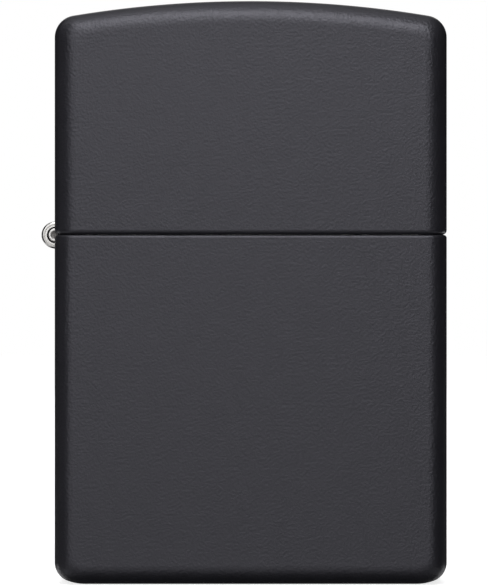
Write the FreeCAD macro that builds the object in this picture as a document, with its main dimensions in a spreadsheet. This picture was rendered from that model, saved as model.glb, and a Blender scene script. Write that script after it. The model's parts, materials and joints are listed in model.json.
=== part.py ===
import FreeCAD, Part
import math
import os
import re

import Sketcher

# A flip-top windproof pocket lighter, closed. Millimetres, +Z up.
# The origin is the middle of the base. The front faces -Y and the lid's hinge is on the -X side.

DIMENSIONS = {
    # case and lid
    "case_width": 37.8,
    "case_depth": 13.0,
    "total_height": 56.2,
    "case_wall": 0.72,
    "rim_level": 33.65,
    "seam_gap": 0.06,
    "edge_round": 1.8,
    "rim_round": 0.15,
    "crown_radius": 105.0,
    "top_corner": 2.12,
    "base_corner_side": 1.9,
    "base_corner_flat": 4.8,
    "base_corner_turn": 69.5,
    "base_recess": 0.3,
    "base_rim": 1.2,
    # hinge
    "barrel_radius": 1.3,
    "hinge_width": 8.6,
    "knuckle_gap": 0.08,
    "pin_play": 0.03,
    "leaf_length": 9.0,
    "barrel_room": 0.15,
    # insert
    "insert_width": 35.3,
    "insert_depth": 11.2,
    "insert_wall": 0.45,
    "insert_foot": 2.3,
    "insert_top": 36.4,
    "insert_corner": 1.6,
    "insert_top_round": 0.8,
    # chimney
    "sheet_gauge": 0.5,
    "screen_half_depth": 4.7,
    "screen_left": -9.4,
    "screen_right": 4.6,
    "screen_top": 51.6,
    "screen_corner": 1.6,
    "jog_run": 1.25,
    "cam_ear_end": -14.5,
    "cam_ear_half_depth": 2.75,
    "wheel_ear_end": 12.0,
    "wheel_ear_half_depth": 3.4,
    "ear_radius": 2.2,
    "air_hole_radius": 0.95,
    "air_hole_pitch": 3.5,
    "air_hole_rise": 2.75,
    "middle_air_row": 46.3,
    # striking gear
    "wheel_centre": 9.2,
    "wheel_level": 45.0,
    "wheel_radius": 3.7,
    "wheel_half_width": 2.5,
    "tooth_depth": 0.25,
    "tooth_count": 40,
    "rivet_radius": 0.75,
    "rivet_play": 0.04,
    "rivet_head_radius": 1.35,
    "rivet_head": 0.45,
    # cam and its spring
    "cam_centre": -12.3,
    "cam_level": 39.4,
    "cam_half_width": 2.0,
    "cam_reach": 9.75,
    "cam_lean": 122.35,
    "cam_toe": 0.5,
    "cam_flat": 1.6,
    "cam_hub": 1.9,
    "cam_corner": 0.45,
    "claw_front_arc": 8.4,
    "claw_back_arc": 8.6,
    "strip_gauge": 0.3,
    "strip_half_width": 1.6,
    "strip_rivet": -5.9,
    # flint column
    "tube_radius": 1.85,
    "tube_bore": 1.36,
    "tube_foot": 3.4,
    "tube_top": 40.0,
    "flint_radius": 1.26,
    "flint_length": 4.5,
    "flint_gap": 0.05,
    "tip_head": 1.2,
    "tip_shank": 1.4,
    "tip_shank_radius": 0.65,
    "screw_head_radius": 2.6,
    "screw_shank_top": 9.0,
    "spring_wire": 0.17,
    "spring_radius": 1.0,
    "spring_turns": 22,
    # wick and packing
    "wick_centre": -1.7,
    "wick_radius": 1.45,
    "wick_top": 47.0,
    "wick_bend": 3.25,
    "wick_right_turn": 1.9,
    "first_run": 29.5,
    "packing_round": 1.3,
    "packing_half_depth": 4.9,
    "felt_foot": 2.6,
    "felt_top": 5.6,
}

doc = FreeCAD.newDocument("lighter")
sheet = doc.addObject("Spreadsheet::Sheet", "Dims")
for row, (alias, number) in enumerate(DIMENSIONS.items(), start=1):
    sheet.set(f"A{row}", alias)
    sheet.set(f"B{row}", str(number))
    sheet.setAlias(f"B{row}", alias)
doc.recompute()

# Lengths that follow from the driving dimensions, as expressions.
HALF_WIDTH = "case_width / 2"
HINGE_X = "-case_width / 2"
LID_LEVEL = "rim_level + seam_gap"
LEAF_GAUGE = "(barrel_radius - case_wall)"
INSERT_X = f"{LEAF_GAUGE} / 2"
KNUCKLE = "((hinge_width - 4 * knuckle_gap) / 5)"
FLOOR = "(insert_top + sheet_gauge)"
FLINT_TOP = "(wheel_level - wheel_radius - flint_gap)"
FLINT_FOOT = f"({FLINT_TOP} - flint_length)"
PACKING_LEFT = f"({INSERT_X} - insert_width / 2 + insert_wall + 0.3)"
PACKING_RIGHT = f"({INSERT_X} + insert_width / 2 - insert_wall - 0.3)"

node_objects = {}


def value(expression):
    """The number that an expression in the sheet's names stands for."""
    return float(sheet.evalExpression(expression))


def bound(expression):
    """The same expression with each name pointed at the sheet, for setExpression."""
    return re.sub(r"[a-z][a-z_]*\b(?!\()", lambda name: "Dims." + name.group(0), expression)


def make_body(label):
    """An empty PartDesign body with its own label."""
    body = doc.addObject("PartDesign::Body", label + "_body")
    body.Label = label + "_body"
    return body


def make_node(label, source):
    """Name an object as one piece of the lighter."""
    source.Label = label
    node_objects[label] = source


def new_sketch(body, name, role, shift=("0", "0", "0")):
    """A sketch on one of the body's origin planes, shifted in the plane's own x, y and normal."""
    plane = next(item for item in body.Origin.OriginFeatures if item.Role == role)
    sketch = body.newObject("Sketcher::SketchObject", name)
    sketch.AttachmentSupport = [(plane, "")]
    sketch.MapMode = "FlatFace"
    for axis, expression in zip("xyz", shift):
        sketch.setExpression(f"AttachmentOffset.Base.{axis}", bound(expression))
    return sketch


def hold_point(sketch, index, end, x, y):
    """Tie one point of a sketch's element to a place given by two expressions."""
    for kind, expression in (("DistanceX", x), ("DistanceY", y)):
        held = Sketcher.Constraint(kind, -1, 1, index, end, value(expression))
        number = sketch.addConstraint(held)
        sketch.setExpression(f"Constraints[{number}]", bound(expression))


def arc_between(start, end, radius, turn):
    """The arc of a circle from start to end that turns left or right, under half a circle."""
    chord = end - start
    half = chord.Length / 2
    rise = math.sqrt(max(radius * radius - half * half, 0.0))
    left = FreeCAD.Vector(-chord.y, chord.x, 0).normalize()
    centre = start + chord * 0.5 + left * (rise if turn == "left" else -rise)
    first, last = (start, end) if turn == "left" else (end, start)
    angles = [math.atan2(point.y - centre.y, point.x - centre.x) for point in (first, last)]
    return Part.ArcOfCircle(Part.Circle(centre, FreeCAD.Vector(0, 0, 1), radius), *angles)


def outline(sketch, corners):
    """A closed outline. A corner is (x, y), or (x, y, radius, turn) when an arc leaves it."""
    points = [FreeCAD.Vector(value(corner[0]), value(corner[1]), 0) for corner in corners]
    starts, ends = [], []
    for number, corner in enumerate(corners):
        start, end = points[number], points[(number + 1) % len(points)]
        if len(corner) == 2:
            index = sketch.addGeometry(Part.LineSegment(start, end), False)
            first, last = 1, 2
        else:
            index = sketch.addGeometry(arc_between(start, end, value(corner[2]), corner[3]), False)
            held = sketch.addConstraint(Sketcher.Constraint("Radius", index, value(corner[2])))
            sketch.setExpression(f"Constraints[{held}]", bound(corner[2]))
            first, last = (1, 2) if corner[3] == "left" else (2, 1)
        starts.append((index, first))
        ends.append((index, last))
    for number, corner in enumerate(corners):
        sketch.addConstraint(Sketcher.Constraint("Coincident", *ends[number - 1], *starts[number]))
        hold_point(sketch, *starts[number], corner[0], corner[1])


def rectangle(sketch, left, low, right, high):
    """A closed outline with its sides along the sketch's axes."""
    outline(sketch, [(left, low), (right, low), (right, high), (left, high)])


def circle(sketch, x, y, radius):
    """A circle held at its centre, with a bound radius."""
    centre = FreeCAD.Vector(value(x), value(y), 0)
    index = sketch.addGeometry(Part.Circle(centre, FreeCAD.Vector(0, 0, 1), value(radius)), False)
    hold_point(sketch, index, 3, x, y)
    held = sketch.addConstraint(Sketcher.Constraint("Radius", index, value(radius)))
    sketch.setExpression(f"Constraints[{held}]", bound(radius))


def feature(body, kind, name, sketch, length, side="One side", back=False):
    """A pad or pocket of a sketch."""
    made = body.newObject("PartDesign::" + kind, name)
    made.Profile = sketch
    made.setExpression("Length", bound(length))
    made.SideType = side
    made.Reversed = back
    doc.recompute()
    if kind == "Pocket" and made.Shape.Volume >= made.BaseFeature.Shape.Volume - 1e-6:
        raise RuntimeError(f"{body.Label}: {name} cuts nothing")
    return made


def turn_profile(body, name, sketch, kind="Revolution", axis="V_Axis"):
    """A full turn of a sketch about one of its own axes."""
    made = body.newObject("PartDesign::" + kind, name)
    made.Profile = sketch
    made.ReferenceAxis = (sketch, [axis])
    made.Angle = 360
    doc.recompute()
    return made


def edge_names(shape, wanted):
    """The names of the edges that a test picks."""
    return [f"Edge{number}" for number, edge in enumerate(shape.Edges, start=1) if wanted(edge)]


def round_edges(body, name, base, radius, wanted):
    """Round the edges of the last feature that a test picks."""
    made = body.newObject("PartDesign::Fillet", name)
    made.Base = (base, edge_names(base.Shape, wanted))
    made.setExpression("Radius", bound(radius))
    doc.recompute()
    return made


def lies_at(edge, axis, level, tolerance=1e-4):
    """True when the whole edge lies in the plane where that coordinate has that value."""
    samples = edge.discretize(5)
    return all(abs(getattr(point, axis) - level) < tolerance for point in samples)


def is_upright(edge):
    """True for a straight edge along Z."""
    points = edge.discretize(5)
    return all(math.hypot(point.x - points[0].x, point.y - points[0].y) < 1e-4 for point in points)


def shell_case_half(body, corners, open_level):
    """A hollow half of the case: its front outline, rounded all round and open at the seam."""
    sketch = new_sketch(body, body.Label + "_outline", "XZ_Plane")
    outline(sketch, corners)
    block = feature(body, "Pad", body.Label + "_block", sketch, "case_depth", "Symmetric")
    face_y = value("case_depth / 2")
    level = value(open_level)
    rounded = round_edges(
        body, body.Label + "_edges", block, "edge_round",
        lambda edge: (lies_at(edge, "y", face_y) or lies_at(edge, "y", -face_y))
        and not lies_at(edge, "z", level))
    hollow = body.newObject("PartDesign::Thickness", body.Label + "_wall")
    mouth = next(number for number, face in enumerate(rounded.Shape.Faces, start=1)
                 if all(abs(vertex.Z - level) < 1e-6 for vertex in face.Vertexes))
    hollow.Base = (rounded, [f"Face{mouth}"])
    hollow.setExpression("Value", "Dims.case_wall")
    hollow.Reversed = True
    hollow.Join = 0
    doc.recompute()
    rim_face = next(face for face in hollow.Shape.Faces
                    if all(abs(vertex.Z - level) < 1e-6 for vertex in face.Vertexes))
    outer = rim_face.OuterWire.Edges
    return round_edges(body, body.Label + "_rim", hollow, "rim_round",
                       lambda edge: any(edge.isSame(other) for other in outer))


def notch_for_hinge(body, low, high):
    """The opening in the left wall where the knuckles lie."""
    sketch = new_sketch(body, body.Label + "_notch_outline", "YZ_Plane", ("0", "0", "-case_width / 4"))
    half = "(hinge_width / 2 + barrel_room)"
    rectangle(sketch, f"-{half}", low, half, high)
    return feature(body, "Pocket", body.Label + "_notch", sketch, "case_width / 2")


def build_case_bottom():
    body = make_body("case_bottom")
    turn = "base_corner_turn"
    rise = f"(base_corner_flat - (base_corner_flat - base_corner_side) * sin({turn}))"
    join_x = f"({HALF_WIDTH} - base_corner_side + base_corner_side * cos({turn}))"
    join_z = f"({rise} - base_corner_side * sin({turn}))"
    flat_x = (f"({HALF_WIDTH} - base_corner_side"
              f" - (base_corner_flat - base_corner_side) * cos({turn}))")
    shell_case_half(body, [
        (f"-{flat_x}", "0"),
        (flat_x, "0", "base_corner_flat", "left"),
        (join_x, join_z, "base_corner_side", "left"),
        (HALF_WIDTH, rise),
        (HALF_WIDTH, "rim_level"),
        (f"-{HALF_WIDTH}", "rim_level"),
        (f"-{HALF_WIDTH}", rise, "base_corner_side", "left"),
        (f"-{join_x}", join_z, "base_corner_flat", "left"),
    ], "rim_level")
    recess = new_sketch(body, "base_recess_outline", "XY_Plane")
    half_x, half_y = f"({flat_x} - base_rim)", "(case_depth / 2 - edge_round - base_rim)"
    rectangle(recess, f"-{half_x}", f"-{half_y}", half_x, half_y)
    panel = feature(body, "Pocket", "base_panel", recess, "base_recess", back=True)
    round_edges(body, "base_panel_corners", panel, "base_rim", lambda edge: is_upright(edge)
                and max(vertex.Z for vertex in edge.Vertexes) < value("base_recess") + 1e-6)
    notch_for_hinge(body, "rim_level - barrel_radius - barrel_room", "rim_level + 1")
    make_node("case_bottom", body)


def build_case_lid():
    body = make_body("case_lid")
    reach = f"({HALF_WIDTH} - top_corner)"
    crown_z = "(total_height - crown_radius)"
    climb = f"sqrt((crown_radius - top_corner)^2 - {reach}^2)"
    crown_end_x = f"({reach} * crown_radius / (crown_radius - top_corner))"
    crown_end_z = f"({crown_z} + {climb} * crown_radius / (crown_radius - top_corner))"
    shell_case_half(body, [
        (f"-{HALF_WIDTH}", LID_LEVEL),
        (HALF_WIDTH, LID_LEVEL),
        (HALF_WIDTH, f"{crown_z} + {climb}", "top_corner", "left"),
        (crown_end_x, crown_end_z, "crown_radius", "left"),
        ("0", "total_height", "crown_radius", "left"),
        (f"-{crown_end_x}", crown_end_z, "top_corner", "left"),
        (f"-{HALF_WIDTH}", f"{crown_z} + {climb}"),
    ], LID_LEVEL)
    notch_for_hinge(body, "rim_level - 1", "rim_level + barrel_radius + barrel_room")
    make_node("case_lid", body)


def build_hinge_leaf(label, knuckles, up):
    """A flat leaf whose tongues curl round the pin: up is 1 for the lid's leaf and -1 below."""
    body = make_body(label)
    near = f"rim_level + {up} * (barrel_radius + barrel_room)"
    far = f"rim_level + {up} * leaf_length"
    sheet_outline = new_sketch(body, label + "_side", "XZ_Plane")
    rectangle(sheet_outline, f"{HINGE_X} + case_wall", near, f"{HINGE_X} + barrel_radius", far)
    leaf = feature(body, "Pad", label + "_sheet", sheet_outline, "hinge_width", "Symmetric")
    far_z = value(far)
    round_edges(body, label + "_corners", leaf, "barrel_radius",
                lambda edge: lies_at(edge, "z", far_z) and edge.Length < 1)
    for place in knuckles:
        start = f"(-hinge_width / 2 + {place} * ({KNUCKLE} + knuckle_gap))"
        tongue = new_sketch(body, f"{label}_tongue_{place}", "XZ_Plane", ("0", "0", f"-{start}"))
        rectangle(tongue, f"{HINGE_X} + case_wall", "rim_level", f"{HINGE_X} + barrel_radius", near)
        feature(body, "Pad", f"{label}_arm_{place}", tongue, KNUCKLE, back=True)
        barrel = new_sketch(body, f"{label}_ring_{place}", "XZ_Plane", ("0", "0", f"-{start}"))
        circle(barrel, HINGE_X, "rim_level", "barrel_radius")
        circle(barrel, HINGE_X, "rim_level", "case_wall")
        feature(body, "Pad", f"{label}_barrel_{place}", barrel, KNUCKLE, back=True)
    make_node(label, body)


def build_hinge_pin():
    body = make_body("hinge_pin")
    side = new_sketch(body, "pin_profile", "YZ_Plane", ("0", "rim_level", HINGE_X))
    radius = "(case_wall - pin_play)"
    half = "(hinge_width / 2 + 0.05)"
    outline(side, [
        (f"-{half} + 0.12", "0"),
        (f"{half} - 0.12", "0"),
        (half, f"{radius} * 0.4"),
        (half, f"{radius} - 0.12"),
        (f"{half} - 0.12", radius),
        (f"-{half} + 0.12", radius),
        (f"-{half}", f"{radius} - 0.12"),
        (f"-{half}", f"{radius} * 0.4"),
    ])
    turn_profile(body, "pin_turned", side, axis="H_Axis")
    make_node("hinge_pin", body)


def build_insert_tank():
    body = make_body("insert_tank")
    plan = new_sketch(body, "tank_plan", "XY_Plane", (INSERT_X, "0", "insert_foot"))
    rectangle(plan, "-insert_width / 2", "-insert_depth / 2", "insert_width / 2", "insert_depth / 2")
    block = feature(body, "Pad", "tank_block", plan, "insert_top - insert_foot")
    upright = round_edges(body, "tank_corners", block, "insert_corner", is_upright)
    top = value("insert_top")
    shoulder = round_edges(body, "tank_shoulder", upright, "insert_top_round",
                           lambda edge: lies_at(edge, "z", top))
    hollow = body.newObject("PartDesign::Thickness", "tank_wall")
    foot = next(number for number, face in enumerate(shoulder.Shape.Faces, start=1)
                if all(abs(vertex.Z - value("insert_foot")) < 1e-6 for vertex in face.Vertexes))
    hollow.Base = (shoulder, [f"Face{foot}"])
    hollow.setExpression("Value", "Dims.insert_wall")
    hollow.Reversed = True
    hollow.Join = 0
    doc.recompute()
    holes = new_sketch(body, "tank_holes", "XY_Plane", ("0", "0", "insert_top + 1"))
    circle(holes, "wick_centre", "0", "wick_radius + 0.3")
    circle(holes, "wheel_centre", "0", "tube_radius")
    feature(body, "Pocket", "tank_top_holes", holes, "4")
    make_node("insert_tank", body)


def build_chimney():
    """The perforated windscreen: one sheet bent round the wick, running on into two pairs of ears."""
    body = make_body("chimney")
    floor = new_sketch(body, "floor_plan", "XY_Plane", ("0", "0", "insert_top"))
    rectangle(floor, "cam_ear_end", "-cam_ear_half_depth", "wheel_ear_end", "cam_ear_half_depth")
    circle(floor, "wick_centre", "0", "wick_radius + 0.3")
    circle(floor, "wheel_centre", "0", "tube_radius")
    circle(floor, "strip_rivet", "0", "rivet_radius")
    feature(body, "Pad", "floor_plate", floor, "sheet_gauge")
    plan = new_sketch(body, "screen_plan", "XY_Plane", ("0", "0", "insert_top"))
    slant = "sheet_gauge * 0.4"
    front = [
        ("cam_ear_end", "-cam_ear_half_depth"),
        ("screen_left", "-cam_ear_half_depth"),
        ("screen_left + jog_run", "-screen_half_depth"),
        ("screen_right", "-screen_half_depth"),
        ("screen_right + jog_run", "-wheel_ear_half_depth"),
        ("wheel_ear_end", "-wheel_ear_half_depth"),
        ("wheel_ear_end", "-wheel_ear_half_depth + sheet_gauge"),
        (f"screen_right + jog_run + {slant}", "-wheel_ear_half_depth + sheet_gauge"),
        (f"screen_right + {slant}", "-screen_half_depth + sheet_gauge"),
        ("screen_left + jog_run + sheet_gauge * 0.6", "-screen_half_depth + sheet_gauge"),
        ("screen_left + sheet_gauge * 1.1", "-cam_ear_half_depth"),
    ]
    back = [(x, y.replace("-screen", "screen").replace("-wheel", "wheel").replace("-cam", "cam")
             .replace("+ sheet", "- sheet")) for x, y in reversed(front)]
    inner_left = [
        ("cam_ear_end", "cam_ear_half_depth - sheet_gauge"),
        ("screen_left", "cam_ear_half_depth - sheet_gauge"),
        ("screen_left", "-cam_ear_half_depth + sheet_gauge"),
        ("cam_ear_end", "-cam_ear_half_depth + sheet_gauge"),
    ]
    outline(plan, front + back + inner_left)
    feature(body, "Pad", "screen_walls", plan, "screen_top - insert_top")
    trim = new_sketch(body, "ear_silhouettes", "XZ_Plane")
    above = "screen_top + 1"
    outline(trim, [
        ("cam_ear_end - 1", "cam_level"),
        ("cam_centre - ear_radius", "cam_level", "ear_radius", "right"),
        ("cam_centre", "cam_level + ear_radius"),
        ("screen_left - 0.9", "cam_level + ear_radius"),
        ("screen_left", "cam_level + ear_radius + 0.9"),
        ("screen_left", "screen_top - screen_corner", "screen_corner", "right"),
        ("screen_left + screen_corner", "screen_top"),
        ("screen_left + screen_corner", above),
        ("cam_ear_end - 1", above),
    ])
    ear_top, edge = "wheel_level + ear_radius", "(screen_right + 0.6)"
    outline(trim, [
        (f"{edge} - screen_corner", above),
        (f"{edge} - screen_corner", "screen_top", "screen_corner", "right"),
        (edge, "screen_top - screen_corner"),
        (edge, f"{ear_top} + 0.8"),
        ("screen_right + 1.4", ear_top),
        ("wheel_centre", ear_top, "ear_radius", "right"),
        ("wheel_centre + ear_radius", "wheel_level"),
        ("wheel_ear_end", f"{FLOOR} + 1.1"),
        ("wheel_ear_end + 1", f"{FLOOR} + 1.1"),
        ("wheel_ear_end + 1", above),
    ])
    feature(body, "Pocket", "ear_shapes", trim, "3 * screen_half_depth", "Symmetric")
    holes = new_sketch(body, "air_hole_rows", "XZ_Plane")
    middle = "((screen_left + jog_run + screen_right) / 2)"
    for row, places in ((-1, (-1, 0, 1)), (0, (-0.5, 0.5)), (1, (-1, 0, 1))):
        for place in places:
            circle(holes, f"{middle} + {place} * air_hole_pitch",
                   f"middle_air_row + {row} * air_hole_rise", "air_hole_radius")
    feature(body, "Pocket", "air_holes", holes, "3 * screen_half_depth", "Symmetric")
    for name, x, level in (("cam", "cam_centre", "cam_level"), ("wheel", "wheel_centre", "wheel_level")):
        bore = new_sketch(body, name + "_ear_bore", "XZ_Plane")
        circle(bore, x, level, "rivet_radius")
        feature(body, "Pocket", name + "_ear_holes", bore, "3 * screen_half_depth", "Symmetric")
    slot = new_sketch(body, "spring_slot", "YZ_Plane", ("0", "0", "screen_left + 1"))
    rectangle(slot, "-strip_half_width - 0.2", FLOOR, "strip_half_width + 0.2", f"{FLOOR} + 1.1")
    feature(body, "Pocket", "spring_way", slot, "1.6")
    make_node("chimney", body)


def build_flint_wheel():
    body = make_body("flint_wheel")
    side = new_sketch(body, "wheel_disc", "XZ_Plane")
    circle(side, "wheel_centre", "wheel_level", "wheel_radius")
    circle(side, "wheel_centre", "wheel_level", "rivet_radius + rivet_play")
    feature(body, "Pad", "wheel_blank", side, "2 * wheel_half_width", "Symmetric")
    groove = new_sketch(body, "tooth_gap", "XZ_Plane", ("wheel_centre", "wheel_level", "0"))
    half = "(wheel_radius * sin(180 / tooth_count))"
    outline(groove, [
        (f"-{half} * 0.9", "wheel_radius + 0.05"),
        (f"{half} * 0.3", "wheel_radius - tooth_depth"),
        (f"{half} * 0.9", "wheel_radius + 0.05"),
    ])
    cut = feature(body, "Pocket", "first_gap", groove, "3 * wheel_half_width", "Symmetric")
    ring = body.newObject("PartDesign::PolarPattern", "wheel_teeth")
    ring.Originals = [cut]
    ring.Axis = (groove, ["N_Axis"])
    ring.Angle = 360
    ring.setExpression("Occurrences", "Dims.tooth_count")
    body.Tip = ring
    doc.recompute()
    make_node("flint_wheel", body)


def build_rivet(label, x, level, half_depth):
    """A rivet across the ears, along Y, with a low domed head on each side."""
    body = make_body(label)
    side = new_sketch(body, label + "_profile", "YZ_Plane", ("0", level, x))
    head = f"({half_depth} + rivet_head)"
    outline(side, [
        (f"-{head}", "0"),
        (head, "0"),
        (head, "rivet_head_radius - 0.3"),
        (f"{head} - 0.25", "rivet_head_radius"),
        (half_depth, "rivet_head_radius"),
        (half_depth, "rivet_radius"),
        (f"-{half_depth}", "rivet_radius"),
        (f"-{half_depth}", "rivet_head_radius"),
        (f"-{head} + 0.25", "rivet_head_radius"),
        (f"-{head}", "rivet_head_radius - 0.3"),
    ])
    turn_profile(body, label + "_turned", side, axis="H_Axis")
    make_node(label, body)


def build_cam():
    """The snap lever: a hub with two flats for its spring and a claw that reaches over the hinge."""
    body = make_body("cam")
    side = new_sketch(body, "cam_profile", "XZ_Plane", ("cam_centre", "cam_level", "0"))
    toe_x, toe_y = "cam_reach * cos(cam_lean)", "cam_reach * sin(cam_lean)"
    across_x, across_y = "cam_toe * sin(cam_lean)", "cam_toe * -cos(cam_lean)"
    outline(side, [
        ("-cam_flat + cam_corner", "-cam_flat"),
        ("cam_hub * 0.6", "-cam_flat", "cam_hub * 1.1", "left"),
        ("cam_hub", "0.2", "claw_front_arc", "left"),
        (f"{toe_x} + {across_x}", f"{toe_y} + {across_y}", "cam_toe * 1.0001", "left"),
        (f"{toe_x} - {across_x}", f"{toe_y} - {across_y}", "claw_back_arc", "right"),
        ("-cam_flat", "0.9"),
        ("-cam_flat", "-cam_flat + cam_corner", "cam_corner * 4 / 3", "left"),
    ])
    circle(side, "0", "0", "rivet_radius + rivet_play")
    feature(body, "Pad", "cam_plate", side, "2 * cam_half_width", "Symmetric")
    make_node("cam", body)


def build_cam_spring():
    body = make_body("cam_spring")
    side = new_sketch(body, "strip_profile", "XZ_Plane")
    foot, step = FLOOR, "(cam_level - cam_flat - 0.04)"
    outline(side, [
        ("strip_rivet + 1.7", foot),
        ("strip_rivet + 1.7", f"{foot} + strip_gauge"),
        ("screen_left - 0.4", f"{foot} + strip_gauge"),
        ("cam_centre + 1.1", step),
        ("cam_centre - 1.5", step),
        ("cam_centre - 1.5", f"{step} - strip_gauge"),
        ("cam_centre + 1.0", f"{step} - strip_gauge"),
        ("screen_left - 0.5", foot),
    ])
    feature(body, "Pad", "strip", side, "2 * strip_half_width", "Symmetric")
    hole = new_sketch(body, "strip_hole", "XY_Plane", ("0", "0", f"{FLOOR} + 1"))
    circle(hole, "strip_rivet", "0", "rivet_radius")
    feature(body, "Pocket", "strip_rivet_hole", hole, "1.5")
    make_node("cam_spring", body)


def build_cam_spring_rivet():
    body = make_body("cam_spring_rivet")
    side = new_sketch(body, "strip_rivet_profile", "XZ_Plane", ("strip_rivet", "0", "0"))
    under = f"({FLOOR} + strip_gauge)"
    outline(side, [
        ("0", "insert_top"),
        ("rivet_radius", "insert_top"),
        ("rivet_radius", under),
        ("rivet_head_radius", under),
        ("rivet_head_radius", f"{under} + rivet_head * 0.5"),
        ("rivet_head_radius * 0.6", f"{under} + rivet_head"),
        ("0", f"{under} + rivet_head"),
    ])
    turn_profile(body, "strip_rivet_turned", side)
    make_node("cam_spring_rivet", body)


def build_turned(label, corners):
    """A round piece of the flint column, turned about the column's upright axis."""
    body = make_body(label)
    side = new_sketch(body, label + "_profile", "XZ_Plane", ("wheel_centre", "0", "0"))
    outline(side, corners)
    turn_profile(body, label + "_turned", side)
    make_node(label, body)
    return body


def build_flint_column():
    build_turned("flint_tube", [
        ("tube_bore", "tube_foot"), ("tube_radius", "tube_foot"),
        ("tube_radius", "tube_top - 0.2"), ("tube_radius - 0.2", "tube_top"), ("tube_bore", "tube_top"),
    ])
    build_turned("flint", [
        ("0", FLINT_FOOT), ("flint_radius", FLINT_FOOT), ("flint_radius", FLINT_TOP), ("0", FLINT_TOP),
    ])
    head_foot = f"({FLINT_FOOT} - 0.02 - tip_head)"
    build_turned("spring_tip", [
        ("0", f"{head_foot} - tip_shank"), ("tip_shank_radius", f"{head_foot} - tip_shank"),
        ("tip_shank_radius", head_foot), ("flint_radius", head_foot),
        ("flint_radius", f"{FLINT_FOOT} - 0.32"), ("flint_radius - 0.3", f"{FLINT_FOOT} - 0.02"),
        ("0", f"{FLINT_FOOT} - 0.02"),
    ])
    screw_foot = "(tube_foot - 1.2)"
    screw = build_turned("flint_screw", [
        ("0", screw_foot), ("screw_head_radius - 0.25", screw_foot),
        ("screw_head_radius", f"{screw_foot} + 0.25"), ("screw_head_radius", "tube_foot"),
        ("tube_bore", "tube_foot"), ("tube_bore", "screw_shank_top - 0.4"),
        ("tube_bore - 0.4", "screw_shank_top"), ("0", "screw_shank_top"),
    ])
    slot = new_sketch(screw, "screw_slot", "XY_Plane", ("wheel_centre", "0", screw_foot))
    rectangle(slot, "-screw_head_radius - 1", "-0.35", "screw_head_radius + 1", "0.35")
    feature(screw, "Pocket", "screw_slot_cut", slot, "0.7", back=True)

    spring_foot = value("screw_shank_top + spring_wire + 0.03")
    spring_head = value(f"{head_foot} - spring_wire - 0.03")
    coil = doc.addObject("Part::Helix", "flint_spring_path")
    coil.Pitch = (spring_head - spring_foot) / value("spring_turns")
    coil.Height = spring_head - spring_foot
    coil.Radius = value("spring_radius")
    wire = doc.addObject("Part::Circle", "flint_spring_section")
    wire.Radius = value("spring_wire")
    wire.Placement = FreeCAD.Placement(FreeCAD.Vector(value("spring_radius"), 0, 0),
                                       FreeCAD.Rotation(FreeCAD.Vector(1, 0, 0), 90))
    sweep = doc.addObject("Part::Sweep", "flint_spring")
    sweep.Sections = [wire]
    sweep.Spine = coil
    sweep.Solid = True
    sweep.Frenet = True
    sweep.Placement.Base = FreeCAD.Vector(value("wheel_centre"), 0, spring_foot)
    doc.recompute()
    make_node("flint_spring", sweep)


def wick_route():
    """The wick's centre line: down from the chimney, then to and fro through the packing."""
    centre, top, bend = value("wick_centre"), value("wick_top"), value("wick_bend")
    level = value("first_run")
    left, right = value(f"{PACKING_LEFT} + wick_bend + wick_radius + 1.2"), value("wick_right_turn")
    edges = []
    here = FreeCAD.Vector(centre, 0, top)

    def run_to(x, z):
        nonlocal here
        there = FreeCAD.Vector(x, 0, z)
        edges.append(Part.LineSegment(here, there).toShape())
        here = there

    def bend_through(middle_x, middle_z, end_x, end_z):
        nonlocal here
        there = FreeCAD.Vector(end_x, 0, end_z)
        edges.append(Part.Arc(here, FreeCAD.Vector(middle_x, 0, middle_z), there).toShape())
        here = there

    diagonal = bend * (1 - math.sqrt(0.5))
    run_to(centre, level + bend)
    bend_through(centre - diagonal, level + diagonal, centre - bend, level)
    for turn in range(3):
        goes_left = turn % 2 == 0
        end, bulge = (left, -bend) if goes_left else (right, bend)
        run_to(end, level)
        bend_through(end + bulge, level - bend, end, level - 2 * bend)
        level -= 2 * bend
    run_to(right, level)
    return Part.Wire(edges)


def build_wick():
    route = wick_route()
    start = route.Vertexes[0].Point
    section = Part.Wire(Part.Circle(start, FreeCAD.Vector(0, 0, -1), value("wick_radius")).toShape())
    wick = doc.addObject("Part::Feature", "wick")
    wick.Shape = route.makePipeShell([section], True, False)
    print("wick length", round(route.Length, 2), "volume ratio", round(
        wick.Shape.Volume / (route.Length * math.pi * value("wick_radius") ** 2), 4))
    make_node("wick", wick)


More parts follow.
